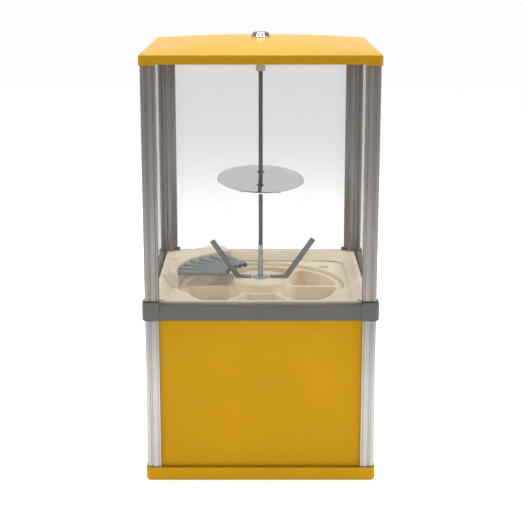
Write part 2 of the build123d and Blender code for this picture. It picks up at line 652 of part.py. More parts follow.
def tray_gasket():
    """Dark rubber strip between the tray's edge and the windows."""
    outer = WINDOW_IN - GASKET_PLAY
    ring = rounded_prism(outer, TRAY_WALL, WEB_TOP, RIM - GASKET_DROP)
    ring -= rounded_prism(TRAY_HALF, TRAY_WALL, WEB_TOP, RIM - GASKET_DROP)
    corner = POST_INNER - MOVING_GAP
    for x in (-1, 1):
        for y in (-1, 1):
            ring -= block(x * corner, x * outer, y * corner, y * outer, WEB_TOP, RIM)
    return ring


def window_clips():
    """Black clips in the two front corners of the tray that hold the front window."""
    half = CLIP_WIDTH / 2
    clips = []
    for side in (-1, 1):
        x = side * (POST_INNER - half - MOVING_GAP)
        clip = block(x - half, x + half, TRAY_HALF - CLIP_SEAT, WINDOW_IN, RIM, RIM + CLIP_HEIGHT)
        clips.append(clip - block(x - half, x + half, TRAY_HALF, WINDOW_IN, RIM, RIM + CLIP_SEAT))
    return Compound(children=clips)


def hopper_screws():
    """Screws of the tray, of the spring housing and in the plateau recess."""
    screws = [screw(x, y, RIM) for x, y in TRAY_SCREWS]
    screws += [screw(x, y, HOUSING_TOP) for x, y in HOUSING_SCREWS]
    screws.append(screw(RECESS[0], RECESS[1], PLATEAU - RECESS_DEPTH))
    return Compound(children=screws)


# ------------------------------------------------------------------ product wheel


def cup(middle):
    """One cup opening of the wheel, as the solid to be removed."""
    ring = upright(CUP_OUT, WHEEL_LOW, WHEEL_TOP) - upright(CUP_IN, WHEEL_LOW, WHEEL_TOP)
    half = math.radians(180 / CUPS)
    far = WHEEL / math.cos(half)
    offset = SPOKE / 2 / math.sin(half)
    wedge = prism_xy([(offset, 0), (offset + far * math.cos(half), far * math.sin(half)),
                      (offset + far * math.cos(half), -far * math.sin(half))], WHEEL_LOW, WHEEL_TOP)
    opening = ring & wedge
    opening = fillet(opening.edges().filter_by(Axis.Z), CUP_CORNER)
    return Rot(0, 0, middle) * opening


def product_wheel():
    """Six-cup wheel with a raised hub and a rebate for the toothed ring."""
    wheel = upright(WHEEL, WHEEL_LOW, WHEEL_TOP)
    hub = upright(HUB, WHEEL_TOP, HUB_TOP)
    hub = fillet(hub.edges().group_by(Axis.Z)[-1], HUB_EDGE)
    wheel += hub
    for number in range(CUPS):
        wheel -= cup(360 / CUPS * (number + 0.5))
    ring = upright(RING_OUT, WHEEL_LOW, WHEEL_LOW + RING_HEIGHT)
    wheel -= ring - upright(RING_IN, WHEEL_LOW, WHEEL_LOW + RING_HEIGHT)
    for side in (-1, 1):
        wheel -= upright(SCREW_SHANK + SCREW_PLAY, HUB_TOP - SCREW_LENGTH, HUB_TOP, side * ARM_SCREW, 0)
    return wheel - upright(BUSH, WHEEL_LOW, HUB_TOP)


def wheel_bush():
    """Bearing bush pressed in the hub, running on the rod."""
    return upright(BUSH, WHEEL_LOW, HUB_TOP) - upright(ROD + BUSH_PLAY, WHEEL_LOW, HUB_TOP)


def tooth(fill, addendum, root, pitch):
    """Half widths of a straight-sided tooth at its tip and at its root."""
    middle = fill * pitch / 2
    lean = math.tan(math.radians(TOOTH_SLOPE))
    return middle - addendum * lean, middle + root * lean


def drive_ring():
    """Ring under the wheel's rim with teeth that point down."""
    base = WHEEL_LOW + TOOTH_HEIGHT
    ring = upright(RING_OUT, base, WHEEL_LOW + RING_HEIGHT) - upright(RING_IN, base, WHEEL_LOW + RING_HEIGHT)
    tip, root = tooth(TOOTH_FILL, TOOTH_ADDENDUM, TOOTH_HEIGHT - TOOTH_ADDENDUM, TOOTH_PITCH)
    bar = prism_xz([(-tip, WHEEL_LOW), (tip, WHEEL_LOW), (root, base + 0.5), (-root, base + 0.5)],
                   RING_IN - 1.0, RING_OUT + 1.0)
    teeth = [Rot(0, 0, 360 / RING_TEETH * (number + 0.5)) * bar for number in range(RING_TEETH)]
    hollow = upright(RING_OUT, WHEEL_LOW, base + 0.5) - upright(RING_IN, WHEEL_LOW, base + 0.5)
    return ring + (Compound(children=teeth) & hollow)


def drive_pinion():
    """Twelve-tooth pinion whose top tooth stands between two teeth of the ring."""
    y0 = RING_IN + PINION_SIDE_PLAY
    y1 = RING_OUT - PINION_SIDE_PLAY
    root_radius = PINION_TIP - TOOTH_HEIGHT
    tip, root = tooth(TOOTH_FILL, TOOTH_ADDENDUM, TOOTH_HEIGHT - TOOTH_ADDENDUM, TOOTH_PITCH)
    tip -= 0.35
    blank = along_y(root_radius, y0, y1, 0, 0)
    bar = prism_xz([(-root, root_radius - 1.5), (root, root_radius - 1.5), (tip, PINION_TIP),
                    (-tip, PINION_TIP)], y0, y1)
    for number in range(PINION_TEETH):
        blank += Rot(0, 360 / PINION_TEETH * number, 0) * bar
    blank -= along_y(SHAFT, y0, y1, 0, 0)
    return Pos(0, 0, SHAFT_Z) * blank


def agitator(side, foot_end, tip_x, tip_height):
    """Bent sheet arm: a foot on the hub and a leaning blade folded up from its edge."""
    z0 = HUB_TOP
    z1 = z0 + ARM_SHEET
    y0 = -ARM_FOOT_WIDTH / 2
    start = side * ARM_FOOT_START
    foot = block(min(start, foot_end), max(start, foot_end), y0, -y0, z0, z1)
    length = math.hypot(tip_x - foot_end, tip_height)
    angle = math.degrees(math.atan2(tip_height, tip_x - foot_end))
    blade = Pos(foot_end, 0, z0) * Rot(0, -angle, 0) * block(0, length, y0, y0 + ARM_SHEET, -ARM_WIDTH / 2,
                                                             ARM_WIDTH / 2)
    blade &= block(-WHEEL, WHEEL, y0, -y0, z0, z0 + 2 * tip_height)
    web_start = side * (ARM_SCREW + SCREW_HEAD + ARM_SCREW_ROOM)
    web = block(min(web_start, foot_end), max(web_start, foot_end), y0, y0 + ARM_SHEET, z0, z0 + ARM_WEB)
    hole = upright(SCREW_SHANK + SCREW_PLAY, z0, z1, side * ARM_SCREW, 0)
    clear = upright(SCREW_HEAD + ARM_SCREW_ROOM, z1, z1 + ARM_WIDTH, side * ARM_SCREW, 0)
    return foot + blade + web - hole - clear


def hub_screws():
    """Screws that hold the agitator arms."""
    return Compound(children=[screw(side * ARM_SCREW, 0, HUB_TOP + ARM_SHEET) for side in (-1, 1)])


# ------------------------------------------------------------------ springs over the discharge cup


def spring_angles():
    """Directions of the fan of springs, in degrees."""
    step = (SPRING_LAST - SPRING_FIRST) / (SPRINGS - 1)
    return [SPRING_FIRST + step * number for number in range(SPRINGS)]


def radial(radius, start, end, angle):
    """A cylinder that points away from the rod at spring height."""
    return Rot(0, 0, angle) * along_x(radius, start, end, 0, SPRING_Z)


def spring_housing():
    """Crescent moulding that holds the springs and follows the tray's border and slope."""
    reach = 2 * TRAY_HALF
    sector = [(0, 0)]
    for angle in (HOUSING_START, HOUSING_END):
        sector.append((reach * math.cos(math.radians(angle)), reach * math.sin(math.radians(angle))))
    sector.insert(2, (-reach, reach))
    body = block(-HOUSING_HALF, 0, -HOUSING_HALF, HOUSING_HALF, PLATEAU, HOUSING_TOP)
    body &= prism_xy(sector, PLATEAU, HOUSING_TOP)
    body -= Rot(0, 0, 135) * block(HOUSING_CUT, reach, -reach, reach, PLATEAU, HOUSING_TOP)
    body = fillet(body.edges().filter_by(Axis.Z).filter_by(lambda e: e.center().Y > HOUSING_HALF - 1
                                                           or e.center().X < -HOUSING_HALF + 1), 6.0)
    body -= upright(WELL, PLATEAU, HOUSING_TOP)
    body = fillet(body.edges().group_by(Axis.Z)[-1], 2.5)
    for angle in spring_angles():
        body -= radial(SPRING, WELL - 1.0, WELL + SPRING_SEAT, angle)
    for x, y in HOUSING_SCREWS:
        body -= upright(SCREW_SHANK + SCREW_PLAY, PLATEAU, HOUSING_TOP, x, y)
    border = block(-TRAY_HALF, TRAY_HALF, -TRAY_HALF, TRAY_HALF, PLATEAU, RIM)
    return body - (border - pocket(SLOPE_TOP, TRAY_CORNER, SLOPE_FOOT, SLOPE_CORNER, RIM, PLATEAU))


def spring(angle):
    """One spring as a closed tube, with a plug at its free end."""
    tube = radial(SPRING, SPRING_INNER, WELL + SPRING_SEAT, angle)
    tube -= radial(SPRING - SPRING_WIRE, SPRING_INNER, WELL + SPRING_SEAT, angle)
    plug = radial(SPRING - SPRING_WIRE, SPRING_INNER, SPRING_INNER + 6.0, angle)
    return tube + plug + radial(SPRING_TIP, SPRING_INNER - SPRING_TIP_LENGTH, SPRING_INNER, angle)


# ------------------------------------------------------------------ coin mechanism


def plate_screw_places():
    """Corner screws of the coin plate as (x, z)."""
    side = PLATE_WIDTH / 2 - PLATE_CORNER
    return [(x, SHAFT_Z + z) for x in (-side, side) for z in (PLATE_ABOVE - PLATE_CORNER, PLATE_CORNER - PLATE_BELOW)]


def plate_openings(y0, y1):
    """Coin slot, shaft hole and coin return, as the solid to be removed."""
    slot = block(-COIN_THICKNESS * 0.75, COIN_THICKNESS * 0.75, y0, y1, SHAFT_Z + SLOT_ABOVE - COIN,
                 SHAFT_Z + SLOT_ABOVE + COIN)
    middle = SHAFT_Z - RETURN_BELOW
    cup_hole = block(-RETURN_WIDTH / 2, RETURN_WIDTH / 2, y0, y1, middle - RETURN_HEIGHT / 2,
                     middle + RETURN_HEIGHT / 2)
    openings = slot + cup_hole + along_y(SHAFT + SHAFT_PLAY, y0, y1, 0, SHAFT_Z)
    for x, z in plate_screw_places():
        openings += along_y(SCREW_SHANK + SCREW_PLAY, y0, y1, x, z)
    return openings


def coin_plate():
    """Face plate with the coin slot, the raised shaft collar and the coin return cup."""
    height = PLATE_ABOVE + PLATE_BELOW
    middle = SHAFT_Z + (PLATE_ABOVE - PLATE_BELOW) / 2
    outline = Pos(0, PLATE_FRONT, middle) * Rot(90, 0, 0) * RectangleRounded(PLATE_WIDTH, height, PLATE_CORNER)
    plate = extrude(outline, PLATE_THICKNESS)
    plate = fillet(plate.faces().sort_by(Axis.Y)[-1].edges(), 1.2)
    plate += along_y(HANDLE_HUB + 3.0, PLATE_FRONT - 0.5, PLATE_FRONT + 2.0, 0, SHAFT_Z)
    bezel = block(-5.0, 5.0, PLATE_FRONT - 0.5, PLATE_FRONT + 2.5, SHAFT_Z + SLOT_ABOVE - COIN - 3.0,
                  SHAFT_Z + SLOT_ABOVE + COIN + 3.0)
    plate += bezel - along_y(HANDLE_HUB + 3.0, PLATE_FRONT - 1, PLATE_FRONT + 3, 0, SHAFT_Z)
    return plate - plate_openings(PLATE_FRONT - PLATE_THICKNESS, PLATE_FRONT + 3.0)


def plate_screws():
    """Screws in the corners of the coin plate."""
    return Compound(children=[Pos(x, PLATE_FRONT, z) * Rot(-90, 0, 0) * screw(0, 0, 0)
                              for x, z in plate_screw_places()])


def coin_body():
    """Cast body behind the panel with the coin wheel's chamber and the rear bearing."""
    low = SHAFT_Z - COIN_WHEEL - BODY_WALL - MOVING_GAP
    high = SHAFT_Z + COIN_WHEEL + BODY_ABOVE
    body = block(-BODY_HALF_WIDTH - BODY_WALL, BODY_HALF_WIDTH + BODY_WALL, BODY_BACK, BODY_FRONT, low, high)
    body -= block(-BODY_HALF_WIDTH, BODY_HALF_WIDTH, BODY_BACK + BODY_WALL, BODY_FRONT - BODY_WALL,
                  low + BODY_WALL, high - BODY_WALL)
    body -= block(-COIN, COIN, BODY_BACK + BODY_WALL, BODY_FRONT - BODY_WALL, low, low + BODY_WALL)
    body -= block(-COIN_THICKNESS, COIN_THICKNESS, BODY_FRONT - BODY_WALL, BODY_FRONT,
                  SHAFT_Z + SLOT_ABOVE - COIN, high)
    body += along_y(SHAFT + 4.0, BODY_BACK - 3.0, BODY_BACK, 0, SHAFT_Z)
    x, z = PAWL_PIVOT
    body += along_y(PAWL_PIN, BODY_BACK, BODY_FRONT - BODY_WALL, x, SHAFT_Z + z)
    return body - along_y(SHAFT + SHAFT_PLAY, BODY_BACK - 3.0, BODY_FRONT, 0, SHAFT_Z)


def coin_wheel():
    """Wheel on the shaft with a coin pocket and ratchet teeth around its edge."""
    y0 = COIN_WHEEL_BACK
    y1 = COIN_WHEEL_FRONT
    points = []
    for number in range(RATCHET_TEETH):
        for radius, share in ((COIN_WHEEL, 0.0), (COIN_WHEEL - RATCHET_DEPTH, 0.05)):
            turn = 2 * math.pi * (number + share) / RATCHET_TEETH
            points.append((radius * math.sin(turn), SHAFT_Z + radius * math.cos(turn)))
    wheel = prism_xz(points, y0, y1)
    wheel -= along_y(COIN, y1 - COIN_THICKNESS, y1, 0, SHAFT_Z + COIN_WHEEL - 0.6 * COIN)
    return wheel - along_y(SHAFT, y0, y1, 0, SHAFT_Z)


def ratchet_pawl():
    """Sprung pawl on its pin, held just off the ratchet's crests."""
    x, z = PAWL_PIVOT
    middle = (COIN_WHEEL_BACK + COIN_WHEEL_FRONT) / 2
    y0 = middle - PAWL_THICKNESS / 2
    y1 = middle + PAWL_THICKNESS / 2
    nose = (COIN_WHEEL + MOVING_GAP) / math.hypot(x, z)
    lever = prism_xz([(x - 2.8, SHAFT_Z + z + 1.5), (x * nose + 0.6, SHAFT_Z + z * nose + 0.6),
                      (x + 0.5, SHAFT_Z + z - 3.0)], y0, y1)
    lever += along_y(PAWL_PIN + 1.8, y0, y1, x, SHAFT_Z + z)
    lever -= along_y(COIN_WHEEL + MOVING_GAP, y0, y1, 0, SHAFT_Z)
    return lever - along_y(PAWL_PIN + BUSH_PLAY, y0, y1, x, SHAFT_Z + z)


def drive_shaft():
    """Shaft from the handle to the pinion."""
    return along_y(SHAFT, RING_IN - 2.0, PLATE_FRONT + HANDLE_REACH - 8.0, 0, SHAFT_Z)


def coin_handle():
    """Winged turning handle with a round hub."""
    start = PLATE_FRONT + 2.0 + MOVING_GAP
    end = PLATE_FRONT + HANDLE_REACH
    hub = along_y(HANDLE_HUB, start, end - 9.0, 0, SHAFT_Z)
    half = HANDLE_LENGTH / 2
    wings = block(-half, half, start + 8.0, end, SHAFT_Z - HANDLE_GRIP / 2, SHAFT_Z + HANDLE_GRIP / 2)
    wings = fillet(wings.edges().filter_by(Axis.Y), HANDLE_GRIP / 2 - 0.1)
    wings = fillet(wings.faces().sort_by(Axis.Y)[-1].edges(), 2.5)
    return hub + wings - along_y(SHAFT, start, PLATE_FRONT + HANDLE_REACH - 8.0, 0, SHAFT_Z)


# ------------------------------------------------------------------ chute, door and coin box


def chute_side(y_back, y_front, inset):
    """Side outline of the chute as (y, z) points, inset from its outer faces."""
    drop_z = TRAY_UNDER - CHUTE_DROP
    return [(y_back + inset, TRAY_UNDER), (y_back + inset, drop_z + inset), (y_front, DOOR_BOTTOM - 2.0 + inset),
            (y_front, DOOR_TOP), (y_back + 2 * CHUTE_BACK + CHUTE_WALL, TRAY_UNDER - CHUTE_MOUTH),
            (y_back + 2 * CHUTE_BACK + CHUTE_WALL, TRAY_UNDER)]


def chute():
    """Open chute from under the discharge hole down to the door."""
    y_back = DISCHARGE_Y - CHUTE_BACK
    half = CHUTE_WIDTH / 2
    body = prism_yz(chute_side(y_back, BODY_FRONT, 0), DISCHARGE_X - half - CHUTE_WALL,
                    DISCHARGE_X + half + CHUTE_WALL)
    inner = chute_side(y_back, BODY_FRONT, CHUTE_WALL)
    return body - prism_yz(inner, DISCHARGE_X - half, DISCHARGE_X + half)


def door_frame():
    """Moulded frame around the chute opening, with two ears for the door's pin."""
    half = DOOR_WIDTH / 2 + DOOR_PLAY
    front = PANEL_OUT + DOOR_FRAME_PROUD
    frame = block(DISCHARGE_X - half - DOOR_FRAME, DISCHARGE_X + half + DOOR_FRAME, PANEL_OUT, front,
                  DOOR_BOTTOM - DOOR_FRAME, DOOR_TOP + DOOR_FRAME)
    frame = fillet(frame.edges().filter_by(Axis.Y), 4.0)
    frame = fillet(frame.faces().sort_by(Axis.Y)[-1].edges(), 1.5)
    frame -= block(DISCHARGE_X - half, DISCHARGE_X + half, PANEL_OUT, front, DOOR_BOTTOM, DOOR_TOP)
    return frame - along_x(DOOR_PIN, DISCHARGE_X - half - 4.0, DISCHARGE_X + half + 4.0, HINGE_Y, HINGE_Z)


def door_pin():
    """Hinge pin of the chute door, held in the frame's sides."""
    half = DOOR_WIDTH / 2 + DOOR_PLAY + 4.0
    return along_x(DOOR_PIN, DISCHARGE_X - half, DISCHARGE_X + half, HINGE_Y, HINGE_Z)


def chute_door():
    """Flap that hangs from its knuckle and swings outward."""
    half = DOOR_WIDTH / 2
    x0 = DISCHARGE_X - half
    x1 = DISCHARGE_X + half
    flap = block(x0, x1, HINGE_Y - DOOR_THICKNESS / 2, HINGE_Y + DOOR_THICKNESS / 2, DOOR_BOTTOM + DOOR_PLAY,
                 HINGE_Z)
    flap = fillet(flap.edges().filter_by(Axis.Y).group_by(Axis.Z)[0], 4.0)
    flap += along_x(KNUCKLE, x0, x1, HINGE_Y, HINGE_Z)
    flap += block(DISCHARGE_X - 12, DISCHARGE_X + 12, HINGE_Y, HINGE_Y + 5.0, DOOR_BOTTOM + 8.0, DOOR_BOTTOM + 12.0)
    return flap - along_x(DOOR_PIN + DOOR_PIN_PLAY, x0, x1, HINGE_Y, HINGE_Z)


def coin_box():
    """Open box on the pan floor under the coin body."""
    width, depth, height = COIN_BOX
    x0 = DISCHARGE_X + CHUTE_WIDTH / 2 + CHUTE_WALL + 6.0
    y1 = BODY_FRONT - 3.0
    middle = Pos(x0 + width / 2, y1 - depth / 2, FLOOR)
    outer = extrude(RectangleRounded(width, depth, COIN_BOX_CORNER), height)
    inner = extrude(Pos(0, 0, COIN_BOX_WALL) * RectangleRounded(
        width - 2 * COIN_BOX_WALL, depth - 2 * COIN_BOX_WALL, COIN_BOX_CORNER - COIN_BOX_WALL), height)
    return middle * (outer - inner)


# ------------------------------------------------------------------ the assembly
CORNERS = ("back_left", "back_right", "front_right", "front_left")
SIDES = ("back", "right", "front", "left")

parts = {"base_pan": base_pan()}
for turns, corner in enumerate(CORNERS):
    parts["lower_post_" + corner] = quarter(post(FLOOR, LOWER_POST, PANEL_OUT, PANEL), turns)
    parts["upper_post_" + corner] = quarter(upper_post(corner), turns)
    parts["band_cap_" + corner] = quarter(band_cap(), turns)
for turns, side in enumerate(SIDES):
    parts["panel_" + side] = front_panel() if side == "front" else quarter(lower_panel(), turns)
    parts["window_" + side] = quarter(window(), turns)
    parts["band_strip_" + side] = quarter(band_strip(), turns)

parts["lid"] = lid()
parts["lock_bezel"] = lock_bezel()
parts["lock_barrel"] = lock_barrel()
parts["lock_ferrule"] = lock_ferrule()

parts["centre_rod"] = upright(ROD, ROD_LOW, ROD_TOP)
parts["rod_sleeve"] = rod_sleeve()
parts["rod_washer"] = rod_washer()
parts["rod_anchor"] = rod_anchor()
parts["baffle_disc"] = baffle_disc()
parts["disc_clips"] = disc_clips()

parts["hopper_tray"] = tray()
parts["tray_gasket"] = tray_gasket()
parts["window_clips"] = window_clips()
parts["hopper_screws"] = hopper_screws()

parts["product_wheel"] = product_wheel()
parts["wheel_bush"] = wheel_bush()
parts["drive_ring"] = drive_ring()
parts["agitator_left"] = agitator(-1, *ARM_LEFT)
parts["agitator_right"] = agitator(1, *ARM_RIGHT)
parts["hub_screws"] = hub_screws()

parts["spring_housing"] = spring_housing()
parts["springs"] = Compound(children=[spring(angle) for angle in spring_angles()])

parts["coin_plate"] = coin_plate()
parts["plate_screws"] = plate_screws()
parts["coin_body"] = coin_body()
parts["coin_wheel"] = coin_wheel()
parts["ratchet_pawl"] = ratchet_pawl()
parts["drive_shaft"] = drive_shaft()
parts["drive_pinion"] = drive_pinion()
parts["coin_handle"] = coin_handle()

parts["chute"] = chute()
parts["door_frame"] = door_frame()
parts["door_pin"] = door_pin()
parts["chute_door"] = chute_door()
parts["coin_box"] = coin_box()

os.makedirs("parts", exist_ok=True)
for name, shape in parts.items():
    export_step(shape, "parts/" + name + ".step")
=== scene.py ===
import math

import bmesh
import bpy
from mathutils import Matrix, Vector


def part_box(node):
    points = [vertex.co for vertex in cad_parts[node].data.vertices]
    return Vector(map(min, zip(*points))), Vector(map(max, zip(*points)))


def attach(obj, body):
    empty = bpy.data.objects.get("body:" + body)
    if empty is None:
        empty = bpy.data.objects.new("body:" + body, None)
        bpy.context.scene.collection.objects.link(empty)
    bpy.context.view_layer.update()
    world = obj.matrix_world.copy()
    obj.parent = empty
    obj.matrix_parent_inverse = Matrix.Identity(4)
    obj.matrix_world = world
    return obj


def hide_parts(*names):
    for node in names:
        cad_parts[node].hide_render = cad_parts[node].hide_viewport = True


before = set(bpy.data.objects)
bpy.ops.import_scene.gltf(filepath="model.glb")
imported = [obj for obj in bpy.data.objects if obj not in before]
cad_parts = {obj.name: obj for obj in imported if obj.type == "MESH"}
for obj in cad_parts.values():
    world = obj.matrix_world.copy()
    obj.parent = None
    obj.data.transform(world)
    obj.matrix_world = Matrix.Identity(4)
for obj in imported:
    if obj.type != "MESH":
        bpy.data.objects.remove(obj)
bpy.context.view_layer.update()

bl_info = {
    "name": "Capsule toy vendor",
    "version": (1, 0, 0),
    "blender": (4, 5, 0),
    "location": "View3D > Sidebar > Vendor",
    "description": "Finishes and fine shapes of a countertop capsule toy vendor",
    "category": "Object",
}

MM = 0.001
CORNERS = ("back_left", "back_right", "front_right", "front_left")
SIDES = ("back", "right", "front", "left")


def linear(code):
    """Turns an sRGB hex colour into linear red, green, blue and alpha."""
    parts = [int(code[i:i + 2], 16) / 255 for i in (1, 3, 5)]
    return tuple(p / 12.92 if p <= 0.04045 else ((p + 0.055) / 1.055) ** 2.4 for p in parts) + (1.0,)


def box(node):
    """Lowest and highest corner of a CAD node."""
    low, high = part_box(node)
    return Vector(low), Vector(high)


# ------------------------------------------------------------------ sizes and colours


class VendorSizes(bpy.types.PropertyGroup):
    """Fine sizes that the CAD model leaves to the visible pieces."""

    lid_sheet: bpy.props.FloatProperty(
        name="Lid sheet", description="Thickness of the pressed lid", default=1.6 * MM, unit="LENGTH")
    lid_corner: bpy.props.FloatProperty(
        name="Lid corner", description="Corner radius of the lid's skirt", default=7.0 * MM, unit="LENGTH")
    lid_edge: bpy.props.FloatProperty(
        name="Lid edge", description="Rounding along the top of the skirt", default=4.0 * MM, unit="LENGTH")
    lid_lobe: bpy.props.FloatProperty(
        name="Lid lobe", description="Length of the deeper skirt at each corner",
        default=24.0 * MM, unit="LENGTH")
    spring_wire: bpy.props.FloatProperty(
        name="Spring wire", description="Wire diameter of the springs", default=1.15 * MM, unit="LENGTH")
    spring_pitch: bpy.props.FloatProperty(
        name="Spring pitch", description="Distance between two turns of a spring",
        default=1.3 * MM, unit="LENGTH")
    # the flutes are cut in the chrome; their black is a painted dark reflection
    bezel_flutes: bpy.props.IntProperty(
        name="Bezel flutes", description="Dark flutes around the lock's bezel", default=16, min=6)


class VendorColours(bpy.types.PropertyGroup):
    """Colours of the finishes."""

    enamel: bpy.props.FloatVectorProperty(
        name="Enamel", description="Yellow of the sheet parts", size=4, subtype="COLOR",
        default=linear("#AC8001"))
    # The lid is the same enamel as the sheet parts; its deeper yellow is painted shade on the lid's skirt.
    lid_enamel_painted_shade: bpy.props.FloatVectorProperty(
        name="Lid enamel", description="Yellow of the lid, a shade deeper", size=4, subtype="COLOR",
        default=linear("#977001"))
    aluminium: bpy.props.FloatVectorProperty(
        name="Lower posts", description="Anodised lower posts", size=4, subtype="COLOR",
        default=linear("#B0ADA9"))
    # The upper posts are the same anodised aluminium as the lower posts; their darker grey is painted shade,
    # not another batch.
    upper_aluminium_painted_shade: bpy.props.FloatVectorProperty(
        name="Upper posts", description="Anodised upper posts, a darker batch", size=4, subtype="COLOR",
        default=linear("#8A8581"))
    band: bpy.props.FloatVectorProperty(
        name="Band", description="Grey moulded band", size=4, subtype="COLOR", default=linear("#4C4A46"))
    hopper: bpy.props.FloatVectorProperty(
        name="Hopper", description="Cream tray and spring housing", size=4, subtype="COLOR",
        default=linear("#E9DCC4"))
    wheel: bpy.props.FloatVectorProperty(
        name="Wheel", description="Cream product wheel", size=4, subtype="COLOR", default=linear("#F0DFBD"))
    zinc: bpy.props.FloatVectorProperty(
        name="Zinc", description="Blue zinc plating of springs and arms", size=4, subtype="COLOR",
        default=linear("#BBC7C8"))
    window: bpy.props.FloatVectorProperty(
        name="Window", description="Tint of each face of the clear panels", size=4, subtype="COLOR",
        default=linear("#F6F6F6"))


# ------------------------------------------------------------------ materials

# settings that every soft noise shares, and the span that most of its values lie in
SOFT = {"Roughness": 0.55}
SPAN = {"From Min": 0.3, "From Max": 0.7}


def scale_of(size_mm):
    """Scale of a pattern whose grains have a real size in millimetres."""
    return 1 / (size_mm * MM)


def grains(*sizes_mm):
    """Scale of a pattern whose grains are this long in millimetres along x, y and z."""
    return tuple(scale_of(size) for size in sizes_mm)


def times(colour, change, lift=0.0):
    """A colour with each part multiplied, lifted and kept within white."""
    return tuple(min(1.0, c * k + lift) for c, k in zip(colour[:3], change)) + (1.0,)


def add(tree, kind, feeds=None, **settings):
    """Adds a node with its settings; each input is fed a value, a socket, or a node's first live output."""
    made = tree.nodes.new("ShaderNode" + kind)
    for key, value in settings.items():
        setattr(made, key, value)
    for key, value in (feeds or {}).items():
        if isinstance(value, bpy.types.Node):
            value = next(socket for socket in value.outputs if socket.enabled)
        if isinstance(value, bpy.types.NodeSocket):
            tree.links.new(value, made.inputs[key])
        else:
            made.inputs[key].default_value = value
    return made


def begin(name):
    """A new material with an empty node tree, and its Object coordinates."""
    made = bpy.data.materials.new(name)
    made.use_nodes = True
    made.node_tree.nodes.clear()
    return made, made.node_tree, add(made.node_tree, "TexCoord").outputs["Object"]


def yellow_enamel(name, yellow, gloss):
    """Stoved gloss enamel on steel sheet: deep even yellow, faint orange peel, soft hand marks."""
    made, tree, place = begin(name)
    cloud = add(tree, "TexNoise", {"Vector": place, "Scale": scale_of(90.0), "Detail": 2.0, **SOFT})
    peel = add(tree, "TexNoise", {"Vector": place, "Scale": scale_of(4.0), "Detail": 1.0, **SOFT})
    upright = add(tree, "Mapping", {"Vector": place, "Scale": grains(30.0, 30.0, 66.0)})
    marks = add(tree, "TexNoise", {"Vector": upright, "Scale": 1.0, "Detail": 1.0, **SOFT})
    fine = add(tree, "TexNoise", {"Vector": place, "Scale": scale_of(0.7), "Detail": 1.0, **SOFT})
    depth = add(tree, "MapRange", {"Value": cloud, **SPAN})
    colour = add(tree, "Mix", {"Factor": depth, 6: yellow, 7: times(yellow, (0.95, 0.93, 0.9))},
                 data_type="RGBA")
    flecks = add(tree, "MapRange", {"Value": fine, **SPAN, "To Max": 0.06})
    colour = add(tree, "Mix", {"Factor": flecks, 6: colour, 7: linear("#E6C24A")}, data_type="RGBA")
    shader = add(tree, "BsdfPrincipled", {
        "Base Color": colour, "IOR": 1.5, "Specular IOR Level": gloss, "Coat Weight": gloss * 0.8,
        "Coat Roughness": 0.14,
        "Roughness": add(tree, "MapRange", {"Value": marks, **SPAN, "To Min": 0.29, "To Max": 0.36}),
        "Normal": add(tree, "Bump", {"Height": peel, "Distance": 0.012 * MM, "Strength": 1.0})})
    add(tree, "OutputMaterial", {"Surface": shader})
    return made


def anodised_aluminium(name, grey, dark):
    """Extruded and satin anodised aluminium: grey metal with fine die lines along the posts."""
    made, tree, place = begin(name)
    # die lines are about 0.1 mm wide and are drawn 0.55 mm wide so that they show
    drawn = add(tree, "Mapping", {"Vector": place, "Scale": grains(0.55, 0.55, 275.0)})
    lines = add(tree, "TexNoise", {"Vector": drawn, "Scale": 1.0, "Detail": 2.0, **SOFT})
    broad = add(tree, "Mapping", {"Vector": place, "Scale": grains(3.2, 3.2, 512.0)})
    bands = add(tree, "TexNoise", {"Vector": broad, "Scale": 1.0, "Detail": 1.0, **SOFT})
    smudge = add(tree, "TexNoise", {"Vector": place, "Scale": scale_of(38.0), "Detail": 3.0, **SOFT})
    lined = add(tree, "MapRange", {"Value": lines, **SPAN})
    tone = add(tree, "Mix", {"Factor": lined, 6: grey, 7: times(grey, (0.86, 0.86, 0.87))}, data_type="RGBA")
    banded = add(tree, "MapRange", {"Value": bands, **SPAN, "To Max": 0.25})
    tone = add(tree, "Mix", {"Factor": banded, 6: tone, 7: dark}, data_type="RGBA")
    handled = add(tree, "MapRange", {"Value": smudge, **SPAN, "To Min": 0.34, "To Max": 0.44})
    scored = add(tree, "MapRange", {"Value": lines, **SPAN, "To Min": -0.04, "To Max": 0.05})
    shader = add(tree, "BsdfPrincipled", {
        "Base Color": tone, "Metallic": 1.0,
        "Roughness": add(tree, "Math", {0: handled, 1: scored}, operation="ADD"),
        "Normal": add(tree, "Bump", {"Height": lines, "Distance": 0.02 * MM, "Strength": 1.0})})
    add(tree, "OutputMaterial", {"Surface": shader})
    return made


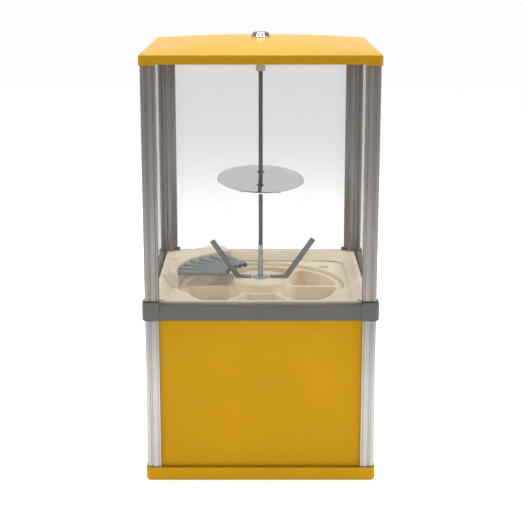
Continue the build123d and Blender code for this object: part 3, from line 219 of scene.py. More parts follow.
def grained_abs(name, colour, grain_mm=0.8, depth_mm=0.05, roughness=0.5):
    """Injection moulded ABS: a dull even skin with a fine spark-eroded grain and a few pale scuffs."""
    made, tree, place = begin(name)
    # the grain is about 0.3 mm and is drawn coarser so that it shows
    grain = add(tree, "TexVoronoi", {"Vector": place, "Scale": scale_of(grain_mm)}, feature="SMOOTH_F1")
    fine = add(tree, "TexNoise", {"Vector": place, "Scale": scale_of(grain_mm * 0.6), "Detail": 2.0, **SOFT})
    melt = add(tree, "Mapping", {"Vector": place, "Scale": grains(45.0, 45.0, 18.0)})
    flow = add(tree, "TexNoise", {"Vector": melt, "Scale": 1.0, "Detail": 3.0, **SOFT})
    along = add(tree, "Mapping", {"Vector": place, "Scale": grains(28.0, 28.0, 7.0)})
    scuff = add(tree, "TexNoise", {"Vector": along, "Scale": 1.0, "Detail": 5.0, **SOFT})
    clouded = add(tree, "MapRange", {"Value": flow, **SPAN})
    tone = add(tree, "Mix", {"Factor": clouded, 6: colour, 7: times(colour, (0.9, 0.9, 0.9))},
               data_type="RGBA")
    worn = add(tree, "MapRange", {"Value": scuff, "From Min": 0.58, "From Max": 0.78, "To Max": 0.18})
    pale = times(colour, (1.5, 1.5, 1.5), 0.02)
    tone = add(tree, "Mix", {"Factor": worn, 6: tone, 7: pale}, data_type="RGBA")
    pebbled = add(tree, "Bump", {"Height": grain, "Distance": depth_mm * MM, "Strength": 1.0})
    shader = add(tree, "BsdfPrincipled", {
        "Base Color": tone, "IOR": 1.53, "Specular IOR Level": 0.45,
        "Roughness": add(tree, "MapRange", {"Value": fine, **SPAN, "To Min": roughness - 0.06,
                                            "To Max": roughness + 0.08}),
        "Normal": add(tree, "Bump", {"Height": fine, "Distance": depth_mm * 0.4 * MM, "Strength": 1.0,
                                     "Normal": pebbled})})
    add(tree, "OutputMaterial", {"Surface": shader})
    return made


def cream_styrene(name, colour):
    """Moulded high-impact polystyrene: warm cream, waxy sheen, faint flow marks and rub marks."""
    made, tree, place = begin(name)
    melt = add(tree, "Mapping", {"Vector": place, "Scale": grains(60.0, 60.0, 30.0)})
    flow = add(tree, "TexNoise", {"Vector": melt, "Scale": 1.0, "Detail": 3.0, **SOFT})
    skin = add(tree, "TexNoise", {"Vector": place, "Scale": scale_of(1.1), "Detail": 2.0, **SOFT})
    wiped = add(tree, "Mapping", {"Vector": place, "Scale": grains(9.0, 22.5, 9.0)})
    rub = add(tree, "TexNoise", {"Vector": wiped, "Scale": 1.0, "Detail": 5.0, **SOFT})
    dust = add(tree, "TexNoise", {"Vector": place, "Scale": scale_of(1.3), "Detail": 1.0, **SOFT})
    clouded = add(tree, "MapRange", {"Value": flow, **SPAN})
    tone = add(tree, "Mix", {"Factor": clouded, 6: colour, 7: times(colour, (0.95, 0.94, 0.9))},
               data_type="RGBA")
    rubbed = add(tree, "MapRange", {"Value": rub, "From Min": 0.55, "From Max": 0.75, "To Max": 0.16})
    tone = add(tree, "Mix", {"Factor": rubbed, 6: tone, 7: linear("#B4A98F")}, data_type="RGBA")
    specks = add(tree, "MapRange", {"Value": dust, "From Min": 0.74, "From Max": 0.84, "To Max": 0.35})
    tone = add(tree, "Mix", {"Factor": specks, 6: tone, 7: linear("#8F8672")}, data_type="RGBA")
    shader = add(tree, "BsdfPrincipled", {
        "Base Color": tone, "IOR": 1.57, "Specular IOR Level": 0.42, "Subsurface Weight": 0.06,
        "Subsurface Radius": (0.004, 0.003, 0.002),
        "Roughness": add(tree, "MapRange", {"Value": rub, **SPAN, "To Min": 0.34, "To Max": 0.5}),
        "Normal": add(tree, "Bump", {"Height": skin, "Distance": 0.018 * MM, "Strength": 1.0})})
    add(tree, "OutputMaterial", {"Surface": shader})
    return made


def zinc_plate(name, grey, drawn=1.0):
    """Bright zinc plated steel with a blue passivated film: soft cloudy metal with faint blue patches."""
    made, tree, place = begin(name)
    film = add(tree, "Mapping", {"Vector": place, "Scale": grains(14.0, 14.0, 14.0 * drawn)})
    cloud = add(tree, "TexNoise", {"Vector": film, "Scale": 1.0, "Detail": 4.0, **SOFT})
    spangle = add(tree, "TexVoronoi", {"Vector": place, "Scale": scale_of(2.6)}).outputs["Color"]
    crystal = add(tree, "SeparateColor", {"Color": spangle})
    skin = add(tree, "Mapping", {"Vector": place, "Scale": grains(0.7, 0.7, 0.7 * drawn)})
    fine = add(tree, "TexNoise", {"Vector": skin, "Scale": 1.0, "Detail": 2.0, **SOFT})
    clouded = add(tree, "MapRange", {"Value": cloud, **SPAN})
    tone = add(tree, "Mix", {"Factor": clouded, 6: grey, 7: times(grey, (0.78, 0.84, 0.88))},
               data_type="RGBA")
    bright = add(tree, "MapRange", {"Value": crystal, "From Min": 0.4, "To Max": 0.14})
    tone = add(tree, "Mix", {"Factor": bright, 6: tone, 7: times(grey, (1.5, 1.5, 1.5))}, data_type="RGBA")
    shader = add(tree, "BsdfPrincipled", {
        "Base Color": tone, "Metallic": 1.0,
        "Roughness": add(tree, "MapRange", {"Value": cloud, **SPAN, "To Min": 0.26, "To Max": 0.42}),
        "Normal": add(tree, "Bump", {"Height": fine, "Distance": 0.012 * MM, "Strength": 1.0})})
    add(tree, "OutputMaterial", {"Surface": shader})
    return made


def mirror_steel():
    """Mirror polished stainless steel: clear reflections with very fine rings left by the polishing."""
    made, tree, place = begin("mirror polished stainless steel")
    # polishing rings are finer than 0.1 mm and are drawn 0.5 mm apart so that they show
    level = add(tree, "Mapping", {"Vector": place, "Scale": (1.0, 1.0, 0.0)})
    radius = add(tree, "VectorMath", {0: level}, operation="LENGTH").outputs["Value"]
    rings = add(tree, "TexNoise", {"W": radius, "Scale": scale_of(0.5), "Detail": 2.0},
                noise_dimensions="1D")
    film = add(tree, "TexNoise", {"Vector": place, "Scale": scale_of(22.0), "Detail": 4.0, **SOFT})
    clouded = add(tree, "MapRange", {"Value": film, **SPAN})
    steel = linear("#FBFBFA")
    tone = add(tree, "Mix", {"Factor": clouded, 6: steel, 7: times(steel, (0.97, 0.97, 0.98))},
               data_type="RGBA")
    shader = add(tree, "BsdfPrincipled", {
        "Base Color": tone, "Metallic": 1.0,
        "Roughness": add(tree, "MapRange", {"Value": film, **SPAN, "To Min": 0.03, "To Max": 0.08}),
        "Normal": add(tree, "Bump", {"Height": rings, "Distance": 0.0008 * MM, "Strength": 1.0})})
    add(tree, "OutputMaterial", {"Surface": shader})
    return made


def turned_metal(name, colour, roughness, ring_mm=0.6, depth_mm=0.01):
    """Turned and plated metal: bright, with fine tool rings around the upright axis."""
    made, tree, place = begin(name)
    # tool rings are about 0.1 mm apart and are drawn coarser so that they show
    turned = add(tree, "Mapping", {"Vector": place, "Scale": grains(ring_mm * 400, ring_mm * 400, ring_mm)})
    rings = add(tree, "TexNoise", {"Vector": turned, "Scale": 1.0, "Detail": 2.0, **SOFT})
    film = add(tree, "TexNoise", {"Vector": place, "Scale": scale_of(6.0), "Detail": 3.0, **SOFT})
    clouded = add(tree, "MapRange", {"Value": film, **SPAN})
    tone = add(tree, "Mix", {"Factor": clouded, 6: colour, 7: times(colour, (0.86, 0.86, 0.86))},
               data_type="RGBA")
    shader = add(tree, "BsdfPrincipled", {
        "Base Color": tone, "Metallic": 1.0,
        "Roughness": add(tree, "MapRange", {"Value": film, **SPAN, "To Min": roughness * 0.8,
                                            "To Max": roughness * 1.25}),
        "Normal": add(tree, "Bump", {"Height": rings, "Distance": depth_mm * MM, "Strength": 1.0})})
    add(tree, "OutputMaterial", {"Surface": shader})
    return made


def cast_metal(name, colour, roughness, grain_mm=1.4, depth_mm=0.05):
    """Die cast zinc: grey metal with a fine pebbled skin and duller hollows."""
    made, tree, place = begin(name)
    pebble = add(tree, "TexVoronoi", {"Vector": place, "Scale": scale_of(grain_mm)}, feature="SMOOTH_F1")
    cloud = add(tree, "TexNoise", {"Vector": place, "Scale": scale_of(12.0), "Detail": 5.0, **SOFT})
    clouded = add(tree, "MapRange", {"Value": cloud, **SPAN})
    tone = add(tree, "Mix", {"Factor": clouded, 6: colour, 7: times(colour, (0.78, 0.78, 0.8))},
               data_type="RGBA")
    shader = add(tree, "BsdfPrincipled", {
        "Base Color": tone, "Metallic": 1.0,
        "Roughness": add(tree, "MapRange", {"Value": cloud, **SPAN, "To Min": roughness - 0.06,
                                            "To Max": roughness + 0.1}),
        "Normal": add(tree, "Bump", {"Height": pebble, "Distance": depth_mm * MM, "Strength": 1.0})})
    add(tree, "OutputMaterial", {"Surface": shader})
    return made


def soft_rubber():
    """Extruded black rubber: very dull, with a grey bloom."""
    made, tree, place = begin("extruded black rubber")
    bloom = add(tree, "TexNoise", {"Vector": place, "Scale": scale_of(11.0), "Detail": 5.0, **SOFT})
    fine = add(tree, "TexNoise", {"Vector": place, "Scale": scale_of(0.5), "Detail": 2.0, **SOFT})
    bloomed = add(tree, "MapRange", {"Value": bloom, **SPAN})
    black = linear("#2B2A28")
    tone = add(tree, "Mix", {"Factor": bloomed, 6: black, 7: times(black, (1.5, 1.5, 1.5))},
               data_type="RGBA")
    shader = add(tree, "BsdfPrincipled", {
        "Base Color": tone, "IOR": 1.52, "Specular IOR Level": 0.3,
        "Roughness": add(tree, "MapRange", {"Value": bloom, **SPAN, "To Min": 0.72, "To Max": 0.86}),
        "Normal": add(tree, "Bump", {"Height": fine, "Distance": 0.04 * MM, "Strength": 1.0})})
    add(tree, "OutputMaterial", {"Surface": shader})
    return made


def natural_acetal():
    """Natural moulded acetal: slippery milk white plastic that lets a little light in."""
    made, tree, place = begin("natural acetal")
    flow = add(tree, "TexNoise", {"Vector": place, "Scale": scale_of(20.0), "Detail": 3.0, **SOFT})
    skin = add(tree, "TexNoise", {"Vector": place, "Scale": scale_of(0.8), "Detail": 2.0, **SOFT})
    clouded = add(tree, "MapRange", {"Value": flow, **SPAN})
    milk = linear("#ECE9DF")
    tone = add(tree, "Mix", {"Factor": clouded, 6: milk, 7: times(milk, (0.94, 0.93, 0.9))},
               data_type="RGBA")
    shader = add(tree, "BsdfPrincipled", {
        "Base Color": tone, "IOR": 1.48, "Subsurface Weight": 0.12,
        "Subsurface Radius": (0.003, 0.003, 0.0025),
        "Roughness": add(tree, "MapRange", {"Value": flow, **SPAN, "To Min": 0.3, "To Max": 0.42}),
        "Normal": add(tree, "Bump", {"Height": skin, "Distance": 0.015 * MM, "Strength": 1.0})})
    add(tree, "OutputMaterial", {"Surface": shader})
    return made


def clear_acrylic(grey):
    """Cast clear acrylic sheet: see-through, grey tinted, mirror-like at a low angle, fine wiping marks."""
    made, tree, place = begin("clear cast acrylic")
    wiped = add(tree, "Mapping", {"Vector": place, "Scale": grains(32.0, 32.0, 0.8)})
    wipes = add(tree, "TexNoise", {"Vector": wiped, "Scale": 1.0, "Detail": 3.0, **SOFT})
    film = add(tree, "TexNoise", {"Vector": place, "Scale": scale_of(55.0), "Detail": 4.0, **SOFT})
    marked = add(tree, "MapRange", {"Value": wipes, **SPAN})
    tint = add(tree, "Mix", {"Factor": marked, 6: grey, 7: times(grey, (0.99, 0.99, 0.99))},
               data_type="RGBA")
    facing = add(tree, "LayerWeight", {"Blend": 0.5}).outputs["Facing"]
    low_angle = add(tree, "Math", {0: facing, 1: 5.0}, operation="POWER")
    haze = add(tree, "MapRange", {"Value": film, **SPAN, "To Max": 0.012})
    gloss = add(tree, "BsdfGlossy", {"Color": linear("#FBFBFB"), "Roughness": haze})
    shader = add(tree, "MixShader", {
        0: add(tree, "MapRange", {"Value": low_angle, "To Min": 0.03, "To Max": 0.35}),
        1: add(tree, "BsdfTransparent", {"Color": tint}), 2: gloss})
    add(tree, "OutputMaterial", {"Surface": shader})
    return made


def white_floor():
    """Matt white studio floor, almost even; a weak glow keeps it as pale as the backdrop."""
    made, tree, place = begin("matt white floor")
    cloud = add(tree, "TexNoise", {"Vector": place, "Scale": scale_of(900.0), "Detail": 2.0, **SOFT})
    fibre = add(tree, "TexNoise", {"Vector": place, "Scale": scale_of(3.0), "Detail": 2.0, **SOFT})
    clouded = add(tree, "MapRange", {"Value": cloud, **SPAN})
    white = linear("#FAFAFA")
    tone = add(tree, "Mix", {"Factor": clouded, 6: white, 7: times(white, (0.99, 0.99, 0.99))},
               data_type="RGBA")
    shader = add(tree, "BsdfPrincipled", {
        "Base Color": tone, "Roughness": 0.9, "Specular IOR Level": 0.1, "Emission Color": linear("#FFFFFF"),
        "Emission Strength": 0.24,
        "Normal": add(tree, "Bump", {"Height": fibre, "Distance": 0.02 * MM, "Strength": 1.0})})
    add(tree, "OutputMaterial", {"Surface": shader})
    return made


def finishes():
    """Every material by a short name."""
    if "stoved yellow enamel" in bpy.data.materials:
        return {m["short"]: m for m in bpy.data.materials if "short" in m}
    colours = bpy.context.scene.vendor_colours
    made = {
        "enamel": yellow_enamel("stoved yellow enamel", tuple(colours.enamel), 0.05),
        # the lid gets a darker copy of the enamel: painted shade
        "lid": yellow_enamel("stoved yellow enamel, lid", tuple(colours.lid_enamel_painted_shade), 0.1),
        "aluminium": anodised_aluminium("satin anodised aluminium", tuple(colours.aluminium),
                                        linear("#A9A6A1")),
        # the upper posts get a darker copy of the lower posts' finish, with darker bands: painted shade
        "upper": anodised_aluminium("satin anodised aluminium, upper posts", tuple(colours.upper_aluminium_painted_shade),
                                    linear("#77716D")),
        "band": grained_abs("grained grey ABS", tuple(colours.band)),
        "hopper": cream_styrene("cream polystyrene", tuple(colours.hopper)),
        "wheel": cream_styrene("cream polystyrene, wheel", tuple(colours.wheel)),
        "zinc": zinc_plate("blue zinc plate", tuple(colours.zinc)),
        "arm": zinc_plate("blue zinc plate, sheet arms", linear("#7E817B")),
        "rod": zinc_plate("bright drawn steel rod", linear("#505254"), 30.0),
        "mirror": mirror_steel(),
        "chrome": turned_metal("bright chrome plate", linear("#C4C6C8"), 0.09),
        # the flutes are chrome like the rest of the bezel; this black paints the dark reflections that lie
        # in them
        "flute": grained_abs("black lacquer in the flutes", linear("#101011"), 0.6, 0.02, 0.4),
        "nickel": turned_metal("dull nickel plated brass", linear("#9A8F80"), 0.34, 0.7, 0.02),
        "screw": turned_metal("zinc plated screw steel", linear("#F0F1EF"), 0.28, 0.4, 0.01),
        "blued": turned_metal("blued spring steel", linear("#3B3F47"), 0.35),
        "cast": cast_metal("die cast zinc", linear("#9A9A97"), 0.5),
        "chromed_cast": cast_metal("chromed zinc casting", linear("#D5D6D7"), 0.16, 3.0, 0.006),
        "rubber": soft_rubber(),
        "black": grained_abs("black ABS", linear("#1B1B1C"), 0.7, 0.04, 0.42),
        "chute": grained_abs("dark grey ABS, chute", linear("#4A4B4B"), 0.9, 0.04, 0.45),
        "door": grained_abs("grey ABS, door", linear("#77797A"), 0.7, 0.03, 0.35),
        # also darkens the inside of each coil: painted shade
        "tip": grained_abs("dark spring tip", linear("#2C2F30"), 0.5, 0.02, 0.45),
        "acetal": natural_acetal(),
        "window": clear_acrylic(tuple(colours.window)),
        "floor": white_floor(),
    }
    for short, material in made.items():
        material["short"] = short
    return made


# ------------------------------------------------------------------ working on pieces


def object_mode():
    """Leaves edit mode and selects nothing."""
    if bpy.context.mode != "OBJECT":
        bpy.ops.object.mode_set(mode="OBJECT")
    bpy.ops.object.select_all(action="DESELECT")


def activate(piece):
    """Selects one piece and nothing else, and makes it active."""
    object_mode()
    piece.select_set(True)
    bpy.context.view_layer.objects.active = piece


def edit(piece):
    """Makes one piece active and opens its mesh with nothing selected."""
    activate(piece)
    bpy.ops.object.mode_set(mode="EDIT")
    bpy.ops.mesh.select_mode(type="VERT")
    bpy.ops.mesh.select_all(action="DESELECT")


def blank(name):
    """An empty mesh object at the origin, open for editing."""
    object_mode()
    bpy.ops.object.add(type="MESH", location=(0, 0, 0))
    piece = bpy.context.active_object
    piece.name = name
    piece.data.name = name
    edit(piece)
    return piece


def pick(piece, kind, test):
    """Selects the vertices, edges or faces that pass a test, and nothing else."""
    bpy.ops.mesh.select_mode(type={"verts": "VERT", "edges": "EDGE", "faces": "FACE"}[kind])
    bpy.ops.mesh.select_all(action="DESELECT")
    mesh = bmesh.from_edit_mesh(piece.data)
    for item in getattr(mesh, kind):
        if test(item):
            item.select_set(True)
    mesh.select_flush_mode()
    bmesh.update_edit_mesh(piece.data)


def near(value, goal):
    """True where two lengths are the same, to a thousandth of a millimetre."""
    return abs(value - goal) < 0.001 * MM


def modify(piece, kind, **settings):
    """Adds a modifier and applies it."""
    activate(piece)
    modifier = piece.modifiers.new(kind.title(), kind)
    for key, value in settings.items():
        setattr(modifier, key, value)
    bpy.ops.object.modifier_apply(modifier=modifier.name)


def settle(piece):
    """Puts a piece's place, turn and size into its mesh."""
    activate(piece)
    bpy.ops.object.transform_apply(location=True, rotation=True, scale=True)


def smooth(piece, degrees):
    """Shades round faces smooth and keeps real edges sharp."""
    activate(piece)
    bpy.ops.object.shade_smooth_by_angle(angle=math.radians(degrees))


def outward(piece):
    """Merges doubles and points the faces outward."""
    edit(piece)
    bpy.ops.mesh.select_all(action="SELECT")
    bpy.ops.mesh.remove_doubles(threshold=0.01 * MM)
    bpy.ops.mesh.normals_make_consistent(inside=False)
    object_mode()


def join(pieces, name):
    """Joins several objects into one."""
    object_mode()
    for piece in pieces:
        piece.select_set(True)
    bpy.context.view_layer.objects.active = pieces[0]
    bpy.ops.object.join()
    pieces[0].name = name
    return pieces[0]


def copied(piece, name):
    """A copy with its own mesh."""
    made = piece.copy()
    made.data = piece.data.copy()
    made.name = name
    made.data.name = name
    bpy.context.scene.collection.objects.link(made)
    return made


def dress(piece, material):
    """Gives the whole piece one material."""
    piece.data.materials.clear()
    piece.data.materials.append(material)


def install(piece, body, slot, *nodes):
    """Rides the piece on its body and lets it stand for its CAD nodes."""
    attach(piece, body)
    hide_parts(*nodes)


def refined(node, body, slot, material, edge_mm, segments=2):
    """A finished copy of a CAD node: merged, its flat faces rejoined, its edges broken and shaded smooth."""
    angle = 32.0
    object_mode()
    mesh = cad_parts[node].data.copy()
    piece = bpy.data.objects.new(node + ".finished", mesh)
    bpy.context.scene.collection.objects.link(piece)
    edit(piece)
    bpy.ops.mesh.select_all(action="SELECT")
    bpy.ops.mesh.remove_doubles(threshold=0.002 * MM)
    bpy.ops.mesh.dissolve_limited(angle_limit=math.radians(0.3))
    modify(piece, "BEVEL", width=edge_mm * MM, segments=segments, limit_method="ANGLE",
           angle_limit=math.radians(angle), use_clamp_overlap=True, miter_outer="MITER_ARC")
    smooth(piece, angle)
    dress(piece, finishes()[material])
    install(piece, body, slot, node)
    return piece


def repaint(node, material):
    """Gives a CAD node that stays its finish."""
    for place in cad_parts[node].material_slots:
        place.material = finishes()[material]


# ------------------------------------------------------------------ the pieces


class VENDOR_OT_stage(bpy.types.Operator):
    """Floor, world, lamps and camera"""

    bl_idname = "vendor.stage"
    bl_label = "Stage"

    # name, place in metres, diameter in metres and power in watts of each round lamp
    lamps = (
        ("key", (-1.5, -0.05, 1.4), 1.2, 11.0),
        ("fill", (1.5, -0.15, 1.3), 1.2, 13.0),
        ("overhead", (0.0, 0.05, 1.4), 0.9, 21.0),
        ("front side", (0.3, 1.7, 1.6), 1.2, 8.0),
        ("low", (0.0, -1.25, 0.1), 0.6, 2.8),
    )
    aim = Vector((0.0, 0.0, 0.35))
    world_strength = 0.78
    floor_size = 90.0
    camera_place = (0.0005, -1.767, 0.722)
    camera_pitch = 12.82
    camera_lens = 86.2
    camera_shift = -0.06

    def execute(self, context):
        object_mode()
        bpy.ops.mesh.primitive_plane_add(size=self.floor_size, location=(0, 0, 0))
        floor = context.active_object
        floor.name = "floor"
        dress(floor, finishes()["floor"])

        world = bpy.data.worlds.new("white studio")
        world.use_nodes = True
        world.node_tree.nodes.clear()
        light = add(world.node_tree, "Background", {
            "Color": linear("#FFFFFF"), "Strength": self.world_strength})
        add(world.node_tree, "OutputWorld", {"Surface": light})
        context.scene.world = world

        for name, place, size, power in self.lamps:
            object_mode()
            bpy.ops.object.light_add(type="AREA", location=place)
            lamp = context.active_object
            lamp.name = "lamp " + name
            lamp.data.shape = "DISK"
            lamp.data.size = size
            lamp.data.energy = power
            lamp.visible_camera = False
            lamp.visible_glossy = name == "overhead"
            lamp.rotation_euler = (self.aim - Vector(place)).to_track_quat("-Z", "Y").to_euler()

        bpy.ops.object.camera_add(location=self.camera_place,
                                  rotation=(math.radians(90 - self.camera_pitch), 0, 0))
        camera = context.active_object
        camera.data.sensor_width = 36.0
        camera.data.lens = self.camera_lens
        camera.data.shift_y = self.camera_shift
        camera.data.clip_start = 0.05
        camera.data.clip_end = 200.0
        context.scene.camera = camera

        context.scene.view_settings.view_transform = "Standard"
        context.scene.view_settings.look = "None"
        return {"FINISHED"}


class VENDOR_OT_cabinet(bpy.types.Operator):
    """Posts, sheet panels, windows and the base pan"""

    bl_idname = "vendor.cabinet"
    bl_label = "Cabinet"

    def execute(self, context):
        for corner in CORNERS:
            refined("lower_post_" + corner, "cabinet", "post_aluminium", "aluminium", 0.25)
            # the upper posts' darker finish is painted shade
            refined("upper_post_" + corner, "cabinet", "post_aluminium", "upper", 0.25)
        for side in SIDES:
            repaint("panel_" + side, "enamel")
            repaint("window_" + side, "window")
        refined("base_pan", "cabinet", "yellow_enamel", "enamel", 0.4)
        return {"FINISHED"}


class VENDOR_OT_band(bpy.types.Operator):
    """Grey band between the lower and the upper cabinet"""

    bl_idname = "vendor.band"
    bl_label = "Band"

    def execute(self, context):
        for corner in CORNERS:
            refined("band_cap_" + corner, "cabinet", "band_plastic", "band", 0.3)
        for side in SIDES:
            refined("band_strip_" + side, "cabinet", "band_plastic", "band", 0.3)
        return {"FINISHED"}


class VENDOR_OT_lid(bpy.types.Operator):
    """Pressed lid: lobed skirt, rolled edge and pillow crown"""

    bl_idname = "vendor.lid"
    bl_label = "Lid"

    # the crown rises steeply at the skirt and levels out at the middle, where the lock goes through
    crown_rise = 10.7 * MM
    crown_level = 20.0 * MM
    crown_steps = (0.0, 0.03, 0.07, 0.12, 0.18, 0.25, 0.33, 0.42, 0.52, 0.64, 0.78, 0.9, 1.0)
    crown_power = 2.2
    lock_hole = 6.9 * MM
    # the skirt is deeper at each corner, past a short slope
    lobe_drop = 1.6 * MM
    lobe_slope = 2.5 * MM
    # how far below the crown the pads start, and how much narrower they are than a post
    pad_top = 12.2 * MM
    pad_inset = 4.0 * MM
    pad_edge = 1.2 * MM

    def stations(self, sizes):
        """Half width, corner radius and height of each ring, from the skirt's foot up."""
        low, high = box("lid")
        edge, square = sizes.lid_edge, sizes.lid_corner
        shoulder = high.z - self.crown_rise
        rings = [(high.x, square, low.z + self.lobe_drop)]
        for degrees in (0, 22.5, 45, 67.5):
            turn = math.radians(degrees)
            inward, drop = edge * (1 - math.cos(turn)), edge * (1 - math.sin(turn))
            rings.append((high.x - inward, square, shoulder - drop))
        flat = high.x - edge
        for share in self.crown_steps:
            reach = flat - share * (flat - self.crown_level)
            corner = square + share ** 0.5 * (reach * 0.8 - square) if share < 1 else self.crown_level * 0.9
            rise = self.crown_rise * (1 - (1 - share) ** self.crown_power)
            rings.append((reach, max(corner, square), shoulder + rise))
        return rings

    def execute(self, context):
        sizes = context.scene.vendor_sizes
        rings = self.stations(sizes)
        piece = blank("lid_shell")
        for half, corner, height in rings:
            bpy.ops.mesh.primitive_plane_add(size=2 * half, location=(0, 0, height))
            bpy.ops.mesh.bevel(offset_type="OFFSET", offset=corner, segments=10, affect="VERTICES",
                               clamp_overlap=False)
            bpy.ops.mesh.delete(type="ONLY_FACE")
        levels = [height for half, corner, height in rings]
        foot, top = levels[0], levels[-1]
        bpy.ops.mesh.primitive_circle_add(vertices=44, radius=self.lock_hole, location=(0, 0, top))
        for low, high in zip(levels, levels[1:]):
            pick(piece, "edges", lambda e: len(e.link_faces) < 2 and any(
                all(near(v.co.z, z) for v in e.verts) for z in (low, high))
                and all(v.co.xy.length > self.crown_level / 2 for v in e.verts))
            bpy.ops.mesh.bridge_edge_loops()
        pick(piece, "edges", lambda e: len(e.link_faces) < 2 and all(near(v.co.z, top) for v in e.verts))
        bpy.ops.mesh.bridge_edge_loops()
        reach = rings[0][0] - sizes.lid_lobe
        slope_end = reach + self.lobe_slope
        for axis in ((1, 0, 0), (0, 1, 0)):
            for place in (-slope_end, -reach, reach, slope_end):
                bpy.ops.mesh.select_all(action="SELECT")
                bpy.ops.mesh.bisect(plane_co=tuple(place * a for a in axis), plane_no=axis)
        pick(piece, "verts", lambda v: near(v.co.z, foot)
             and min(abs(v.co.x), abs(v.co.y)) > slope_end - 0.1 * MM)
        bpy.ops.transform.translate(value=(0, 0, -self.lobe_drop))
        outward(piece)
        modify(piece, "SOLIDIFY", thickness=sizes.lid_sheet, offset=-1.0, use_even_offset=True)
        piece = join([piece] + self.pads(), "lid_shell")
        smooth(piece, 30)
        dress(piece, finishes()["lid"])
        install(piece, "lid_group", "yellow_enamel", "lid")
        return {"FINISHED"}

    def pads(self):
        """Four seats under the crown that rest on the posts."""
        post_low, post_high = box("upper_post_back_left")
        foot, top = post_high.z, box("lid")[1].z - self.pad_top
        side = post_high.x - post_low.x - self.pad_inset
        middle = -(post_low.x + post_high.x) / 2
        made = []
        for x in (-middle, middle):
            for y in (-middle, middle):
                object_mode()
                bpy.ops.mesh.primitive_cube_add(size=1.0, location=(x, y, (foot + top) / 2))
                pad = bpy.context.active_object
                pad.scale = (side, side, top - foot)
                settle(pad)
                modify(pad, "BEVEL", width=self.pad_edge, segments=2)
                made.append(pad)
        return made


class VENDOR_OT_lock(bpy.types.Operator):
    """Fluted bezel, lock barrel and the ferrule under the lid"""

    bl_idname = "vendor.lock"
    bl_label = "Lock"

    barrel_play = 0.06 * MM
    flange_height = 1.6 * MM
    rim = 10.0 * MM
    flute_depth = 0.7 * MM
    flute_border = 0.12 * MM

    def execute(self, context):
        flutes = context.scene.vendor_sizes.bezel_flutes
        low, high = box("lock_bezel")
        barrel = box("lock_barrel")[1].x + self.barrel_play
        foot, flange, top = low.z, low.z + self.flange_height, high.z
        outer, rim = high.x, self.rim
        piece = blank("lock_bezel_ring")
        profile = ((barrel, foot), (outer, foot), (outer, flange), (outer - 0.6 * MM, flange + 0.3 * MM),
                   (rim + 0.4 * MM, top - 0.7 * MM), (rim - 0.3 * MM, top), (barrel + 0.5 * MM, top),
                   (barrel, top - 0.5 * MM))
        for radius, height in profile:
            bpy.ops.mesh.primitive_circle_add(vertices=flutes * 6, radius=radius, location=(0, 0, height))
        for ends in zip(profile, profile[1:] + profile[:1]):
            pick(piece, "edges", lambda e: any(
                all(near(v.co.z, z) and near(v.co.xy.length, r) for v in e.verts) for r, z in ends))
            bpy.ops.mesh.bridge_edge_loops()
        outward(piece)
        edit(piece)

        def off_flute(middle):
            """How far a face is from its flute's middle line, as a share of the way to the next flute."""
            step = 2 * math.pi / flutes
            return abs(((math.atan2(middle.y, middle.x) + 8 * math.pi) % step) / step - 0.5)

        def slanted(face):
            """True for a face of the slanted ring that lies in a flute."""
            middle = face.calc_center_median()
            return (0.3 < face.normal.z < 0.97 and middle.xy.length > rim and off_flute(middle) < 0.2
                    and flange + 0.5 * MM < middle.z < top - 0.8 * MM)

        pick(piece, "faces", slanted)
        bpy.ops.mesh.inset(thickness=self.flute_border, depth=-self.flute_depth)
        object_mode()
        dress(piece, finishes()["chrome"])
        piece.data.materials.append(finishes()["flute"])
        # faces in and around the flutes get the black: painted dark reflection
        for face in piece.data.polygons:
            if (off_flute(face.center) < 0.26 and rim < face.center.xy.length < outer - 0.4 * MM
                    and flange + 0.2 * MM < face.center.z < top - 0.6 * MM):
                face.material_index = 1
        smooth(piece, 35)
        install(piece, "lid_group", "lock_chrome", "lock_bezel")
        refined("lock_barrel", "lock", "lock_chrome", "chrome", 0.25)
        refined("lock_ferrule", "lid_group", "nickel_brass", "nickel", 0.4)
        return {"FINISHED"}


class VENDOR_OT_rod(bpy.types.Operator):
    """Centre rod with its sleeve, washer, anchor and clips"""

    bl_idname = "vendor.rod"
    bl_label = "Rod"

    def execute(self, context):
        refined("centre_rod", "cabinet", "zinc_steel", "rod", 0.4)
        refined("rod_sleeve", "cabinet", "zinc_steel", "zinc", 0.2)
        refined("rod_washer", "cabinet", "zinc_steel", "zinc", 0.25)
        refined("rod_anchor", "cabinet", "cast_zinc", "cast", 0.4)
        refined("disc_clips", "cabinet", "blued_steel", "blued", 0.15)
        return {"FINISHED"}


class VENDOR_OT_disc(bpy.types.Operator):
    """Mirror polished baffle disc, loose and tilted on the rod"""

    bl_idname = "vendor.disc"
    bl_label = "Baffle disc"

    radius = 62.5 * MM
    hole = 4.2 * MM
    thickness = 1.5 * MM
    tilt = (math.radians(8.4), math.radians(1.6), 0.0)

    def execute(self, context):
        low, high = box("baffle_disc")
        piece = blank("baffle_disc_mirror")
        rings = (self.radius, 0.5 * self.radius, self.hole)
        for size in rings:
            bpy.ops.mesh.primitive_circle_add(vertices=192, radius=size, location=(0, 0, 0))
        for pair in zip(rings, rings[1:]):
            pick(piece, "edges", lambda e: all(any(near(v.co.xy.length, r) for r in pair) for v in e.verts))
            bpy.ops.mesh.bridge_edge_loops()
        outward(piece)
        modify(piece, "SOLIDIFY", thickness=self.thickness, offset=0.0)
        modify(piece, "BEVEL", width=0.3 * MM, segments=3, limit_method="ANGLE",
               angle_limit=math.radians(60))
        piece.location = (low + high) / 2
        piece.rotation_euler = self.tilt
        settle(piece)
        smooth(piece, 30)
        dress(piece, finishes()["mirror"])
        install(piece, "disc", "mirror_steel", "baffle_disc")
        return {"FINISHED"}


